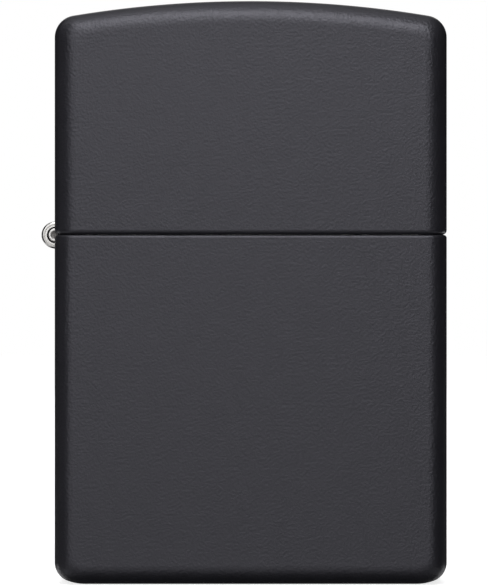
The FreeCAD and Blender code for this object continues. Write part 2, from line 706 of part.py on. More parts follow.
def build_packing():
    """Six wads of cotton, each between two runs of the wick or beside the flint tube."""
    level, bend, wick = "first_run", "wick_bend", "(wick_radius + 0.2)"
    beside_tube = "(wheel_centre - tube_radius - 0.2)"
    left_of_turn = "(wick_right_turn + wick_bend - wick_radius - 0.3)"
    right_of_turn = f"({PACKING_LEFT} + 2 * wick_radius + 1.6)"
    ceiling = "(insert_top - insert_wall - 0.2)"
    wads = [
        (PACKING_LEFT, f"{level} + {wick}", "(wick_centre - wick_radius - 1.6)", ceiling),
        (right_of_turn, f"{level} - 2 * {bend} + {wick}", beside_tube, f"{level} - {wick}"),
        (PACKING_LEFT, f"{level} - 4 * {bend} + {wick}", left_of_turn, f"{level} - 2 * {bend} - {wick}"),
        (right_of_turn, f"{level} - 6 * {bend} + {wick}", beside_tube, f"{level} - 4 * {bend} - {wick}"),
        ("(wheel_centre + tube_radius + 0.2)", "(felt_top + 0.2)", PACKING_RIGHT, ceiling),
        ("(wick_centre + wick_radius + 0.2)", f"{level} + 0.5", beside_tube, ceiling),
    ]
    for number, (low_x, low_z, high_x, high_z) in enumerate(wads, start=1):
        label = f"packing_ball_{number}"
        body = make_body(label)
        side = new_sketch(body, label + "_outline", "XZ_Plane")
        rectangle(side, low_x, low_z, high_x, high_z)
        wad = feature(body, "Pad", label + "_wad", side, "2 * packing_half_depth", "Symmetric")
        round_edges(body, label + "_round", wad, "packing_round", lambda edge: True)
        make_node(label, body)


def build_felt_pad():
    body = make_body("felt_pad")
    plan = new_sketch(body, "felt_plan", "XY_Plane", ("0", "0", "felt_foot"))
    rectangle(plan, PACKING_LEFT, "-packing_half_depth", PACKING_RIGHT, "packing_half_depth")
    circle(plan, "wheel_centre", "0", "screw_head_radius + 0.3")
    pad = feature(body, "Pad", "felt_sheet", plan, "felt_top - felt_foot")
    round_edges(body, "felt_corners", pad, "packing_round",
                lambda edge: is_upright(edge) and len(edge.Vertexes) == 2
                and abs(edge.CenterOfMass.y) > value("packing_half_depth") - 0.01)
    make_node("felt_pad", body)


def write_steps():
    """Check every object and every piece, then write each piece's solid."""
    doc.recompute()
    for item in doc.Objects:
        if "Invalid" in item.State or "Error" in item.State:
            raise RuntimeError(f"{item.Label} is {item.State}")
    for label, item in node_objects.items():
        shape = item.Shape
        if shape.isNull() or not shape.isValid() or len(shape.Solids) != 1:
            raise RuntimeError(f"{label}: null, not valid or {len(shape.Solids)} solids")
        print(f"{label:20s} {shape.Volume:10.2f} mm3")
    os.makedirs("parts", exist_ok=True)
    for label, item in node_objects.items():
        item.Shape.exportStep(f"parts/{label}.step")


build_case_bottom()
build_case_lid()
build_hinge_leaf("hinge_leaf_bottom", (0, 2, 4), -1)
build_hinge_leaf("hinge_leaf_lid", (1, 3), 1)
build_hinge_pin()
build_insert_tank()
build_chimney()
build_flint_wheel()
build_rivet("wheel_rivet", "wheel_centre", "wheel_level", "wheel_ear_half_depth")
build_cam()
build_rivet("cam_rivet", "cam_centre", "cam_level", "cam_ear_half_depth")
build_cam_spring()
build_cam_spring_rivet()
build_flint_column()
build_wick()
build_packing()
build_felt_pad()
write_steps()
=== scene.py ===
import json
import random
from math import atan2, cos, degrees, exp, hypot, pi, radians, sin, sqrt, tan

import bmesh
import bpy
from mathutils import Matrix, Vector, noise


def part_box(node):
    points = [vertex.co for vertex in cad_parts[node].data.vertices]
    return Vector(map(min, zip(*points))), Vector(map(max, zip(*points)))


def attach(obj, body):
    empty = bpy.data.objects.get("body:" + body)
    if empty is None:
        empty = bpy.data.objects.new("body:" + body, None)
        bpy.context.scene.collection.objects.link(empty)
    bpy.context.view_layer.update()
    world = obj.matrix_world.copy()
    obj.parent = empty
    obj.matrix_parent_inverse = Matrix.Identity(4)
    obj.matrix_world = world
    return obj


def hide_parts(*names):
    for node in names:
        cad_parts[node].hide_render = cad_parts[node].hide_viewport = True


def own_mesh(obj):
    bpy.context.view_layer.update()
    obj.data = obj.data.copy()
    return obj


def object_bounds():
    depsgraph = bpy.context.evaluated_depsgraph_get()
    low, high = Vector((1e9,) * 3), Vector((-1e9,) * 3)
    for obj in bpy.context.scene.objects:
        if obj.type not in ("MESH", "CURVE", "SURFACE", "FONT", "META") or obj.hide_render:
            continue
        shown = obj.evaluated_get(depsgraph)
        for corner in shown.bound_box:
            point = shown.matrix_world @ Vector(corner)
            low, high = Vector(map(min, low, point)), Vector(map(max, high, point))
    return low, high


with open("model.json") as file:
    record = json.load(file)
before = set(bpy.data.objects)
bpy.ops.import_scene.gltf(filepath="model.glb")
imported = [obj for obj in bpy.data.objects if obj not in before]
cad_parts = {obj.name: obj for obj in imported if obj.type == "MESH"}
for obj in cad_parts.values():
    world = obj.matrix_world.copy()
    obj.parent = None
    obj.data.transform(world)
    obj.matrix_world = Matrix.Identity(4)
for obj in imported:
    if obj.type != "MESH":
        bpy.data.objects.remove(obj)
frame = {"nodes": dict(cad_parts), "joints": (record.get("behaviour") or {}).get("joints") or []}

# A flip-top windproof lighter. Lengths below are millimetres; make_piece turns them into metres.
cad_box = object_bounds()
MM = 0.001


def box_mm(node):
    """A CAD node's lowest and highest corners, in millimetres."""
    low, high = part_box(node)
    return low / MM, high / MM


def joint_mm(name):
    """A joint's place, in millimetres."""
    joint = next(item for item in frame["joints"] if item["name"] == name)
    return Vector(joint["pos_m"]) / MM


case_high = box_mm("case_bottom")[1]
lid_high = box_mm("case_lid")[1]
tank_low, tank_high = box_mm("insert_tank")
chimney_high = box_mm("chimney")[1]
leaf_low, leaf_high = box_mm("hinge_leaf_bottom")
hinge_axis = joint_mm("lid_hinge")
cam_pivot = joint_mm("cam_pivot")
wheel_axis = joint_mm("flint_wheel_spin")

# Case and lid
HALF_WIDTH, HALF_DEPTH = case_high.x, case_high.y
RIM, TOP = case_high.z, lid_high.z
SEAM_GAP = 0.02
SEAM = RIM + SEAM_GAP
WALL = 0.72
EDGE_ROUND, LID_SPREAD = 1.8, 2.1     # the edges' rounding, and how far the lid's runs over the face
CROWN_RADIUS = 105.0
TOP_CORNER = 2.12
BASE_CORNER_SIDE, BASE_CORNER_FLAT, BASE_CORNER_TURN = 1.9, 4.8, 69.5
BASE_RECESS, BASE_RIM = 0.3, 1.2
CASE_RIM_ROUND, LID_RIM_ROUND, INNER_RIM_ROUND = 0.28, 0.42, 0.12
CORNER_KEEP = 0.4                     # share of an inset that a corner's radius isn't cut by
SUPPORT = 0.05                        # distance of the extra ring beside a rounding
ROUND_STEPS = 12

# Hinge
BARREL_RADIUS = 1.3
KNUCKLE_GAP = 0.08
BARREL_ROOM = 0.15
LEAF_LENGTH, LEAF_WIDTH = 9.0, leaf_high.y - leaf_low.y
CURL_TURN, CURL_STEPS = 302, 60
KNUCKLE_ROUND, LEAF_CORNER, TONGUE_OVERLAP, SHEET_EDGE = 0.20, 1.3, 0.3, 0.06
WELD_RADIUS, WELD_DEPTH = 0.7, 0.1
PIN_NECK, PIN_DIMPLE, PIN_END_DEPTH = 0.03, 0.4, 0.7

# Insert and chimney
TANK_WALL, TANK_CORNER, TANK_SHOULDER = 0.45, 1.6, 0.8
SHEET = 0.5
SCREEN_HALF, CAM_EAR_HALF, WHEEL_EAR_HALF = 4.7, 2.75, 3.4
SCREEN_LEFT, SCREEN_RIGHT, JOG = -9.4, 4.6, 1.25
CAM_EAR_END, WHEEL_EAR_END, EAR_RADIUS = -14.5, 12.0, 2.2
AIR_HOLE, AIR_PITCH, AIR_RISE, AIR_ROW = 0.95, 3.5, 2.75, 46.3
SCREEN_TOP_CORNER, STRIP_ROOM, STRIP_SLOT = 1.6, 0.2, 1.1
FLOOR = tank_high.z + SHEET
TUBE_RADIUS = 1.85

# Striking gear, cam and wick
WHEEL_RADIUS, WHEEL_HALF, WHEEL_STEPS, WHEEL_EDGE, WHEEL_EDGE_DROP = 3.7, 2.5, 40, 0.22, 0.28
TEETH, TOOTH_STEPS, TOOTH_DEPTH, TOOTH_RISE, TOOTH_SKEW = 40, 8, 0.30, 0.72, 0.35
GROOVE_DEPTH, GROOVE_PITCH, GROOVE_HALF, GROOVE_STARTS = 0.20, 0.78, 0.24, 2
RIVET_RADIUS, RIVET_PLAY, RIVET_HEAD_RADIUS, RIVET_HEAD = 0.75, 0.04, 1.35, 0.45
CAM_HALF, CAM_REACH, CAM_LEAN, CAM_TOE, CAM_FLAT, CAM_HUB = 2.0, 9.75, 122.35, 0.5, 1.6, 1.9
STRIP_GAUGE, STRIP_HALF, STRIP_RIVET, STRIP_GAP = 0.3, 1.6, -5.9, 0.12
COIL_RADIUS, COIL_WIRE, COIL_TURNS, FLINT_TRAVEL = 1.0, 0.17, 22, 3.0
WICK_CENTRE, WICK_RADIUS, WICK_TOP, WICK_BEND, FIRST_RUN = -1.7, 1.45, 47.0, 3.25, 29.5
WICK_RIGHT_TURN, WICK_ROOM, WICK_FIBRES, WICK_AROUND, WICK_STEP = 1.9, 0.3, 150, 48, 0.16
BRAIDS, BRAID_TWIST, BRAID_LOW, BRAID_RISE = 6, 2.1, 0.90, 0.08
WAD_FLUFF, WAD_MESH = 0.3, 0.55
SCREW_ROOM, FELT_CORNER, FLAP_CUT, FLAP_CUT_WIDTH = 2.9, 1.3, 3, 0.25

# Studio: shares of the lighter's size, then metres
FRAME_SHARE, NEAREST_SHARE = 0.9945, 0.72
CAMERA_DISTANCE, CAMERA_DROP = 0.42, 0.00005
FLOOR_HALF, FLOOR_DROP, DOME_RADIUS = 1.5, 0.00005, 2.2


# ---- outlines

def arc(centre_x, centre_y, radius, start, end, steps):
    """Points along an arc, both ends included; angles in degrees."""
    angles = [radians(start + (end - start) * step / steps) for step in range(steps + 1)]
    return [(centre_x + radius * cos(a), centre_y + radius * sin(a)) for a in angles]


def polar(radius, angle):
    """How far across and up a point is, at a radius and an angle in radians."""
    return radius * cos(angle), radius * sin(angle)


def direction(centre, point):
    """The direction from a centre to a point, in radians."""
    return atan2(point.y - centre.y, point.x - centre.x)


def swept(centre, radius, start, sweep, steps):
    """Points along an arc that starts in one direction and turns by sweep, both in radians."""
    return [(centre.x + radius * cos(start + sweep * k / steps),
             centre.y + radius * sin(start + sweep * k / steps)) for k in range(steps + 1)]


def rectangle(low_x, low_y, high_x, high_y):
    """A rectangle's corners, anticlockwise."""
    return [(low_x, low_y), (high_x, low_y), (high_x, high_y), (low_x, high_y)]


def rounded(points, radii, steps=5, closed=True):
    """An outline with its corners rounded. radii is one radius, or one for each corner."""
    if not isinstance(radii, (list, tuple)):
        radii = [radii] * len(points)
    made = []
    count = len(points)
    for number, (point, radius) in enumerate(zip(points, radii)):
        here = Vector(point)
        is_end = not closed and number in (0, count - 1)
        if radius <= 0 or is_end:
            made.append(tuple(here))
            continue
        back = Vector(points[number - 1]) - here
        on = Vector(points[(number + 1) % count]) - here
        half_turn = (pi - back.angle(on)) / 2
        if half_turn < 0.01:
            made.append(tuple(here))
            continue
        run = min(radius * tan(half_turn), 0.49 * back.length, 0.49 * on.length)
        first, last = here + back.normalized() * run, here + on.normalized() * run
        # Where a side is short, the arc's radius is cut down to what fits.
        fitted = run / tan(half_turn)
        inwards = (back.normalized() + on.normalized()).normalized()
        centre = here + inwards * (fitted / cos(half_turn))
        start = direction(centre, first)
        sweep = (direction(centre, last) - start + pi) % (2 * pi) - pi
        made += swept(centre, fitted, start, sweep, steps)
    return made


def bulged(start, end, radius, turn, steps):
    """Points along an arc from start to end that turns left (1) or right (-1)."""
    start, end = Vector(start), Vector(end)
    chord = end - start
    rise = sqrt(max(radius * radius - chord.length_squared / 4, 0.0))
    centre = (start + end) / 2 + Vector((-chord.y, chord.x)).normalized() * rise * turn
    first, last = direction(centre, start), direction(centre, end)
    sweep = (last - first) % (2 * pi) if turn > 0 else -((first - last) % (2 * pi))
    return swept(centre, radius, first, sweep, steps)


def beside(points, distance):
    """An open line moved sideways to its left by a distance."""
    moved = []
    for number, point in enumerate(points):
        here = Vector(point)
        before = Vector(points[max(number - 1, 0)])
        after = Vector(points[min(number + 1, len(points) - 1)])
        ahead, behind = (after - here), (here - before)
        along = (ahead.normalized() + behind.normalized()).normalized()
        stretch = 1.0
        if ahead.length and behind.length:
            stretch = 1 / max(cos(ahead.angle(behind) / 2), 0.5)
        moved.append((here.x - along.y * distance * stretch, here.y + along.x * distance * stretch))
    return moved


def rounded_rectangle(half_x, half_y, radius, centre_x=0.0):
    """A rectangle's outline with round corners, anticlockwise."""
    made = []
    for sign_x, sign_y, start in ((1, -1, -90), (1, 1, 0), (-1, 1, 90), (-1, -1, 180)):
        made += arc(centre_x + sign_x * (half_x - radius), sign_y * (half_y - radius),
                    radius, start, start + 90, 8)
    return made


# ---- meshes

def add_object(name, mesh_data):
    """An object in the scene made from a bmesh, which is used up."""
    mesh = bpy.data.meshes.new(name)
    mesh_data.to_mesh(mesh)
    mesh_data.free()
    made = bpy.data.objects.new(name, mesh)
    bpy.context.scene.collection.objects.link(made)
    return made


def make_piece(name, mesh_data, body, materials, replaced=(), sharp=35, flat_sided=False):
    """A finished piece from a bmesh in millimetres: it rides on a body and stands for CAD nodes.
    A flat_sided piece is shaded by its large faces, so that flat sheet looks flat up to its edges."""
    bmesh.ops.remove_doubles(mesh_data, verts=mesh_data.verts, dist=1e-5)
    bmesh.ops.recalc_face_normals(mesh_data, faces=mesh_data.faces)
    piece = add_object(name, mesh_data)
    mesh = piece.data
    mesh.transform(Matrix.Scale(MM, 4))
    for material in materials:
        mesh.materials.append(material)
    mesh.shade_smooth()
    mesh.set_sharp_from_angle(angle=radians(sharp))
    if flat_sided:
        weighting = piece.modifiers.new("weighting", "WEIGHTED_NORMAL")
        weighting.keep_sharp = True
        weighting.weight = 100
    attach(piece, body)
    if replaced:
        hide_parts(*replaced)
    return piece


def add_loops(mesh_data, loops):
    """Quads between one loop of points and the next. Returns the loops' vertices."""
    rows = [[mesh_data.verts.new(point) for point in loop] for loop in loops]
    join_loops(mesh_data, rows)
    return rows


def join_loops(mesh_data, rows, closed=True, material=0):
    """Quads between loops of vertices that are already there."""
    for low, high in zip(rows, rows[1:]):
        count = len(low)
        for number in range(count if closed else count - 1):
            after = (number + 1) % count
            corners = [low[number], low[after], high[after], high[number]]
            if len(set(corners)) == 4:
                mesh_data.faces.new(corners).material_index = material


def add_cap(mesh_data, row, material=0):
    """One flat face across a loop of vertices."""
    mesh_data.faces.new(row).material_index = material


def add_tube(mesh_data, loops):
    """Quads between one loop of points and the next, with a cap at each end."""
    rows = add_loops(mesh_data, loops)
    add_cap(mesh_data, rows[0])
    add_cap(mesh_data, rows[-1])


def prism(points, low, high, axis):
    """A bmesh: an outline pushed from low to high along an axis. Along y the outline is (x, z)."""
    lift = {"x": lambda p, t: (t, p[0], p[1]), "y": lambda p, t: (p[0], t, p[1]),
            "z": lambda p, t: (p[0], p[1], t)}[axis]
    made = bmesh.new()
    add_tube(made, [[lift(point, level) for point in points] for level in (low, high)])
    bmesh.ops.recalc_face_normals(made, faces=made.faces)
    return made


def lathe(profile, centre, axis, steps=48):
    """A bmesh: a profile of (radius, distance along the axis) points turned about the axis."""
    made = bmesh.new()
    rows = []
    for radius, along in profile:
        ring = []
        for step in range(steps):
            angle = 2 * pi * step / steps
            across, up = polar(radius, angle)
            offset = {"y": (across, along, up), "z": (across, up, along)}[axis]
            ring.append(made.verts.new(Vector(centre) + Vector(offset)))
        rows.append(ring)
    join_loops(made, rows)
    bmesh.ops.remove_doubles(made, verts=made.verts, dist=1e-5)
    bmesh.ops.recalc_face_normals(made, faces=made.faces)
    return made


def cylinder(radius, low, high, centre, axis, steps=40):
    """A bmesh: a round bar from low to high along an axis."""
    return lathe([(0.0, low), (radius, low), (radius, high), (0.0, high)], centre, axis, steps)


def combine(base, other, operation):
    """The first bmesh after a boolean with the second. Both are used up."""
    target, tool = add_object("boolean_base", base), add_object("boolean_tool", other)
    modifier = target.modifiers.new("boolean", "BOOLEAN")
    modifier.operation = operation
    modifier.solver = "EXACT"
    modifier.object = tool
    depsgraph = bpy.context.evaluated_depsgraph_get()
    result = bmesh.new()
    result.from_object(target, depsgraph)
    for holder in (target, tool):
        mesh = holder.data
        bpy.data.objects.remove(holder)
        bpy.data.meshes.remove(mesh)
    return result


def carve(base, *cutters):
    """Cut several bmeshes out of the first."""
    for cutter in cutters:
        base = combine(base, cutter, "DIFFERENCE")
    return base


def soften(mesh_data, width, wanted=None, angle=35, segments=2):
    """Bevel the sharp edges that a test picks."""
    bmesh.ops.remove_doubles(mesh_data, verts=mesh_data.verts, dist=1e-4)
    bmesh.ops.dissolve_degenerate(mesh_data, edges=mesh_data.edges, dist=1e-4)
    limit = radians(angle)
    chosen = [edge for edge in mesh_data.edges
              if len(edge.link_faces) == 2 and edge.calc_face_angle(0) > limit
              and (wanted is None or wanted(edge))]
    bmesh.ops.bevel(mesh_data, geom=chosen, offset=width, segments=segments, profile=0.6,
                    affect="EDGES", clamp_overlap=True)
    return mesh_data


# ---- materials

class Surface:
    """A node material built step by step round one Principled shader."""

    def __init__(self, name, colour, roughness, metallic=0.0, **sockets):
        self.material = bpy.data.materials.new(name)
        self.material.use_nodes = True
        self.nodes = self.material.node_tree.nodes
        self.links = self.material.node_tree.links
        self.shader = self.nodes["Principled BSDF"]
        self.set("Base Color", (*colour, 1.0))
        self.set("Roughness", roughness)
        self.set("Metallic", metallic)
        for socket, number in sockets.items():
            self.set(socket.replace("_", " "), number)
        self.coordinates = self.nodes.new("ShaderNodeTexCoord").outputs["Object"]
        self.normal = None

    def set(self, socket, number):
        """Set a number on the shader's own socket."""
        self.shader.inputs[socket].default_value = number

    def stretched(self, scale):
        """Object coordinates scaled along each axis, for brushed or woven patterns."""
        mapping = self.nodes.new("ShaderNodeMapping")
        mapping.inputs["Scale"].default_value = scale
        self.links.new(self.coordinates, mapping.inputs["Vector"])
        return mapping.outputs["Vector"]

    def noise(self, size, detail=3.0, stretch=None, rough=0.5):
        """A noise pattern whose features are about this many millimetres across."""
        made = self.nodes.new("ShaderNodeTexNoise")
        made.inputs["Scale"].default_value = 1 / (size * MM)
        made.inputs["Detail"].default_value = detail
        made.inputs["Roughness"].default_value = rough
        vector = self.stretched(stretch) if stretch else self.coordinates
        self.links.new(vector, made.inputs["Vector"])
        return made.outputs["Fac"]

    def between(self, factor, low, high, start=0.0, end=1.0):
        """The factor stretched so that start gives low and end gives high."""
        made = self.nodes.new("ShaderNodeMapRange")
        for socket, number in zip(("From Min", "From Max", "To Min", "To Max"), (start, end, low, high)):
            made.inputs[socket].default_value = number
        self.links.new(factor, made.inputs["Value"])
        return made.outputs["Result"]

    def blend_colours(self, factor, first, second, start=0.0, end=1.0):
        """Colour the surface between two colours as a factor goes from start to end."""
        if (start, end) != (0.0, 1.0):
            factor = self.between(factor, 0.0, 1.0, start, end)
        ramp = self.nodes.new("ShaderNodeValToRGB")
        ramp.color_ramp.elements[0].color = (*first, 1.0)
        ramp.color_ramp.elements[1].color = (*second, 1.0)
        self.links.new(factor, ramp.inputs["Fac"])
        self.links.new(ramp.outputs["Color"], self.shader.inputs["Base Color"])

    def vary_roughness(self, factor, low, high):
        """Let a pattern move the roughness between two values."""
        self.links.new(self.between(factor, low, high, 0.3, 0.7), self.shader.inputs["Roughness"])

    def bump(self, height, depth):
        """Raise the surface by a pattern; depth is in millimetres."""
        made = self.nodes.new("ShaderNodeBump")
        made.inputs["Distance"].default_value = depth * MM
        made.inputs["Strength"].default_value = 1.0
        self.links.new(height, made.inputs["Height"])
        if self.normal:
            self.links.new(self.normal, made.inputs["Normal"])
        self.normal = made.outputs["Normal"]
        self.links.new(self.normal, self.shader.inputs["Normal"])


def black_coat_material():
    """Matt black powder coat: a fine even grain with faint mottling."""
    surface = Surface("black_coat", (0.0104, 0.0102, 0.0129), 0.4, Specular_IOR_Level=0.6)
    surface.set("Specular Tint", (0.90, 0.89, 1.0, 1.0))
    surface.blend_colours(surface.noise(2.2, 4), (0.0096, 0.0094, 0.0120), (0.0112, 0.0109, 0.0138),
                          0.35, 0.65)
    surface.vary_roughness(surface.noise(0.8, 4), 0.38, 0.44)
    surface.bump(surface.noise(0.6, 2), 0.010)
    surface.bump(surface.noise(0.26, 3), 0.043)
    return surface.material


def bare_metal_material(name, colour, roughness, grain, brushing, depth):
    """Bare metal with fine brushing along one axis."""
    surface = Surface(name, colour, roughness, metallic=1.0)
    darker = tuple(part * 0.92 for part in colour)
    surface.blend_colours(surface.noise(3.0, 3), darker, colour, 0.3, 0.7)
    lines = surface.noise(grain, 3, brushing)
    surface.vary_roughness(lines, roughness * 0.85, roughness * 1.2)
    surface.bump(lines, depth)
    return surface.material


def plated_material(name, colour, roughness, dent=0.003):
    """Polished plate with faint tumbling marks; dent is how deep they are, in millimetres."""
    surface = Surface(name, colour, roughness, metallic=1.0)
    marks = surface.noise(0.35, 4)
    surface.blend_colours(marks, tuple(part * 0.9 for part in colour), colour, 0.35, 0.65)
    surface.vary_roughness(surface.noise(0.9, 3), roughness * 0.7, roughness * 1.4)
    surface.bump(surface.noise(0.16, 3), dent)
    return surface.material


def wheel_material():
    """Hardened, cut steel, its tone varied at random by a fine grain."""
    surface = Surface("wheel_steel", (0.30, 0.29, 0.28), 0.36, metallic=1.0)
    grain = surface.noise(0.4, 4)
    surface.blend_colours(grain, (0.20, 0.19, 0.185), (0.36, 0.35, 0.34), 0.3, 0.7)
    surface.vary_roughness(grain, 0.28, 0.46)
    surface.bump(surface.noise(0.1, 2), 0.004)
    return surface.material


def flint_material():
    """Dull grey cast alloy."""
    surface = Surface("flint_alloy", (0.20, 0.19, 0.19), 0.62, metallic=0.7)
    grain = surface.noise(0.2, 4)
    surface.blend_colours(grain, (0.13, 0.125, 0.12), (0.26, 0.25, 0.245))
    surface.bump(grain, 0.02)
    return surface.material


def pin_end_and_painted_shade_material():
    """The dull cut steel at the middle of the hinge pin's ends, also put on the pin's outer edge and side
    near each end as painted shade in the gap to the knuckles.
    """
    surface = Surface("sheared_steel_and_painted_shade", (0.20, 0.195, 0.19), 0.5, metallic=1.0)
    grain = surface.noise(0.12, 3)
    surface.blend_colours(grain, (0.07, 0.065, 0.065), (0.30, 0.29, 0.28), 0.35, 0.65)
    surface.bump(grain, 0.02)
    return surface.material


def cotton_material(name, colour, thread):
    """Soft cotton: fibres, a little sheen and no shine."""
    surface = Surface(name, colour, 0.95, Specular_IOR_Level=0.2, Sheen_Weight=0.35, Sheen_Roughness=0.5)
    fibres = surface.noise(thread, 5, rough=0.65)
    shaded = tuple(part * 0.74 for part in colour)
    surface.blend_colours(fibres, shaded, colour, 0.3, 0.65)
    surface.bump(fibres, thread * 0.4)
    return surface.material


BLACK_COAT = black_coat_material()
INNER_METAL = bare_metal_material("case_inside", (0.64, 0.63, 0.61), 0.34, 0.08, (1, 1, 0.08), 0.002)
NICKEL = plated_material("hinge_nickel", (0.60, 0.59, 0.575), 0.17)
INSERT_STEEL = bare_metal_material("insert_steel", (0.70, 0.695, 0.68), 0.25, 0.07, (0.06, 1, 1), 0.0016)
WHEEL_STEEL = wheel_material()
RIVET_STEEL = plated_material("rivet_steel", (0.76, 0.75, 0.73), 0.2)
CAM_STEEL = plated_material("cam_steel", (0.58, 0.575, 0.56), 0.3)
SPRING_STEEL = bare_metal_material("spring_steel", (0.52, 0.52, 0.53), 0.25, 0.1, (0.15, 1, 1), 0.002)
BRASS = bare_metal_material("brass", (0.78, 0.56, 0.27), 0.3, 0.15, (1, 1, 0.2), 0.003)
FLINT = flint_material()
# Dark sheared steel for the pin's dimples, also used as painted shade on the pin's outer edge and side near
# its ends.
PIN_END_AND_SHADE = pin_end_and_painted_shade_material()
PIN_STEEL = plated_material("pin_steel", (0.56, 0.55, 0.54), 0.24, dent=0.03)
COTTON = cotton_material("cotton", (0.87, 0.85, 0.79), 0.22)
FELT = cotton_material("felt", (0.80, 0.79, 0.74), 0.3)


# ---- case and lid

def case_outline(inset, mouth):
    """The lower case's front outline, moved inwards: down the left side, along the base, up the right."""
    turn = radians(BASE_CORNER_TURN)
    side, flat = BASE_CORNER_SIDE - inset * (1 - CORNER_KEEP), BASE_CORNER_FLAT - inset
    side_x, flat_z = HALF_WIDTH - inset - side, inset + flat
    flat_x = side_x - (flat - side) * cos(turn)
    side_z = flat_z - (flat - side) * sin(turn)
    right = arc(flat_x, flat_z, flat, -90, -BASE_CORNER_TURN, 6)
    right += arc(side_x, side_z, side, -BASE_CORNER_TURN, 0, 16)[1:]
    right += [(HALF_WIDTH - inset, mouth - SUPPORT), (HALF_WIDTH - inset, mouth)]
    left = [(-x, z) for x, z in reversed(right)]
    return left + right


def lid_outline(inset, mouth):
    """The lid's front outline, moved inwards: up the left side, over the crown, down the right."""
    corner, crown = TOP_CORNER - inset * (1 - CORNER_KEEP), CROWN_RADIUS - inset
    reach = HALF_WIDTH - inset - corner
    crown_z = TOP - CROWN_RADIUS
    climb = sqrt((crown - corner) ** 2 - reach ** 2)
    lean = degrees(atan2(climb, reach))
    right = arc(0, crown_z, crown, 90, lean, 24)
    right += arc(reach, crown_z + climb, corner, lean, 0, 12)[1:]
    right += [(HALF_WIDTH - inset, mouth + SUPPORT), (HALF_WIDTH - inset, mouth)]
    left = [(-x, z) for x, z in reversed(right)][:-1]
    return left + right


def rings_across(wall, edge_spread):
    """(inset, y, side share, depth share) of each ring from front to back; wall is 0 outside.
    edge_spread is how far the outer edge's rounding runs over the face."""
    half, deep = HALF_DEPTH - wall, EDGE_ROUND - wall
    spread = deep if wall else edge_spread
    rows = [(wall + spread + SUPPORT, -half, 0.0, -1.0)]
    for step in range(ROUND_STEPS + 1):
        angle = pi / 2 * step / ROUND_STEPS
        outwards = Vector((deep * sin(angle), -spread * cos(angle))).normalized()
        rows.append((wall + spread * (1 - sin(angle)), -half + deep * (1 - cos(angle)),
                     outwards.x, outwards.y))
    rows.append((wall, -half + deep + SUPPORT, 1.0, 0.0))
    return rows + [(inset, -y, side, -depth) for inset, y, side, depth in reversed(rows)]


def case_half(outline_at, mouth, opens, rim_round, edge_spread):
    """A bmesh: one half of the case as a thin shell. opens is 1 where its mouth faces up, else -1."""
    made = bmesh.new()
    rims = []
    for wall, rim, material in ((0.0, rim_round, 0), (WALL, INNER_RIM_ROUND, 1)):
        rows = rings_across(wall, edge_spread)
        start = mouth - opens * rim
        grid = [[made.verts.new((x, y, z)) for x, z in outline_at(inset, start)]
                for inset, y, _, _ in rows]
        join_loops(made, grid, closed=False, material=material)
        for ring in (grid[0], grid[-1]):
            add_cap(made, ring[1:-1], material)
            add_cap(made, [ring[0], ring[1], ring[-2], ring[-1]], material)
        loop = [ring[0] for ring in grid] + [ring[-1] for ring in reversed(grid)]
        normals = [Vector((-side, depth, 0)) for _, _, side, depth in rows]
        normals += [Vector((side, depth, 0)) for _, _, side, depth in reversed(rows)]
        inwards = -1 if wall == 0 else 1
        loops = [loop]
        for step in range(1, 5):
            angle = pi / 2 * step / 4
            shift, rise = rim * (1 - cos(angle)), rim * sin(angle) * opens
            loops.append([made.verts.new(vertex.co + normal * shift * inwards + Vector((0, 0, rise)))
                          for vertex, normal in zip(loop, normals)])
        join_loops(made, loops)
        rims.append(loops[-1])
    join_loops(made, rims)
    bmesh.ops.recalc_face_normals(made, faces=made.faces)
    return made


def hinge_notch(low, high):
    """The cutter for the opening in the left wall where the knuckles lie."""
    half = LEAF_WIDTH / 2 + BARREL_ROOM
    outline = rounded(rectangle(-half, low, half, high), 0.35)
    return prism(outline, -HALF_WIDTH - 1, -HALF_WIDTH + 2 * WALL, "x")



def build_case_bottom():
    made = case_half(case_outline, RIM, 1, CASE_RIM_ROUND, EDGE_ROUND)
    flat_x = HALF_WIDTH - BASE_CORNER_SIDE - (BASE_CORNER_FLAT - BASE_CORNER_SIDE) * cos(
        radians(BASE_CORNER_TURN))
    half_x, half_y = flat_x - BASE_RIM, HALF_DEPTH - EDGE_ROUND - BASE_RIM
    recess = prism(rounded_rectangle(half_x, half_y, BASE_RIM), -1, BASE_RECESS, "z")
    soften(recess, 0.12, lambda edge: all(vertex.co.z > 0 for vertex in edge.verts), segments=3)
    made = carve(made, recess, hinge_notch(RIM - BARREL_RADIUS - BARREL_ROOM, RIM + 1))
    soften(made, 0.1, lambda edge: all(abs(vertex.co.z) < 1e-3 for vertex in edge.verts)
           and all(abs(vertex.co.x) < half_x + 0.01 and abs(vertex.co.y) < half_y + 0.01
                   for vertex in edge.verts), segments=3)
    return make_piece("lower_case", made, "case", [BLACK_COAT, INNER_METAL],
                      ["case_bottom"], flat_sided=True)


def build_case_lid():
    made = case_half(lid_outline, SEAM, -1, LID_RIM_ROUND, LID_SPREAD)
    made = carve(made, hinge_notch(SEAM - 1, RIM + BARREL_RADIUS + BARREL_ROOM))
    return make_piece("lid", made, "lid", [BLACK_COAT, INNER_METAL], ["case_lid"],
                      flat_sided=True)


# ---- hinge

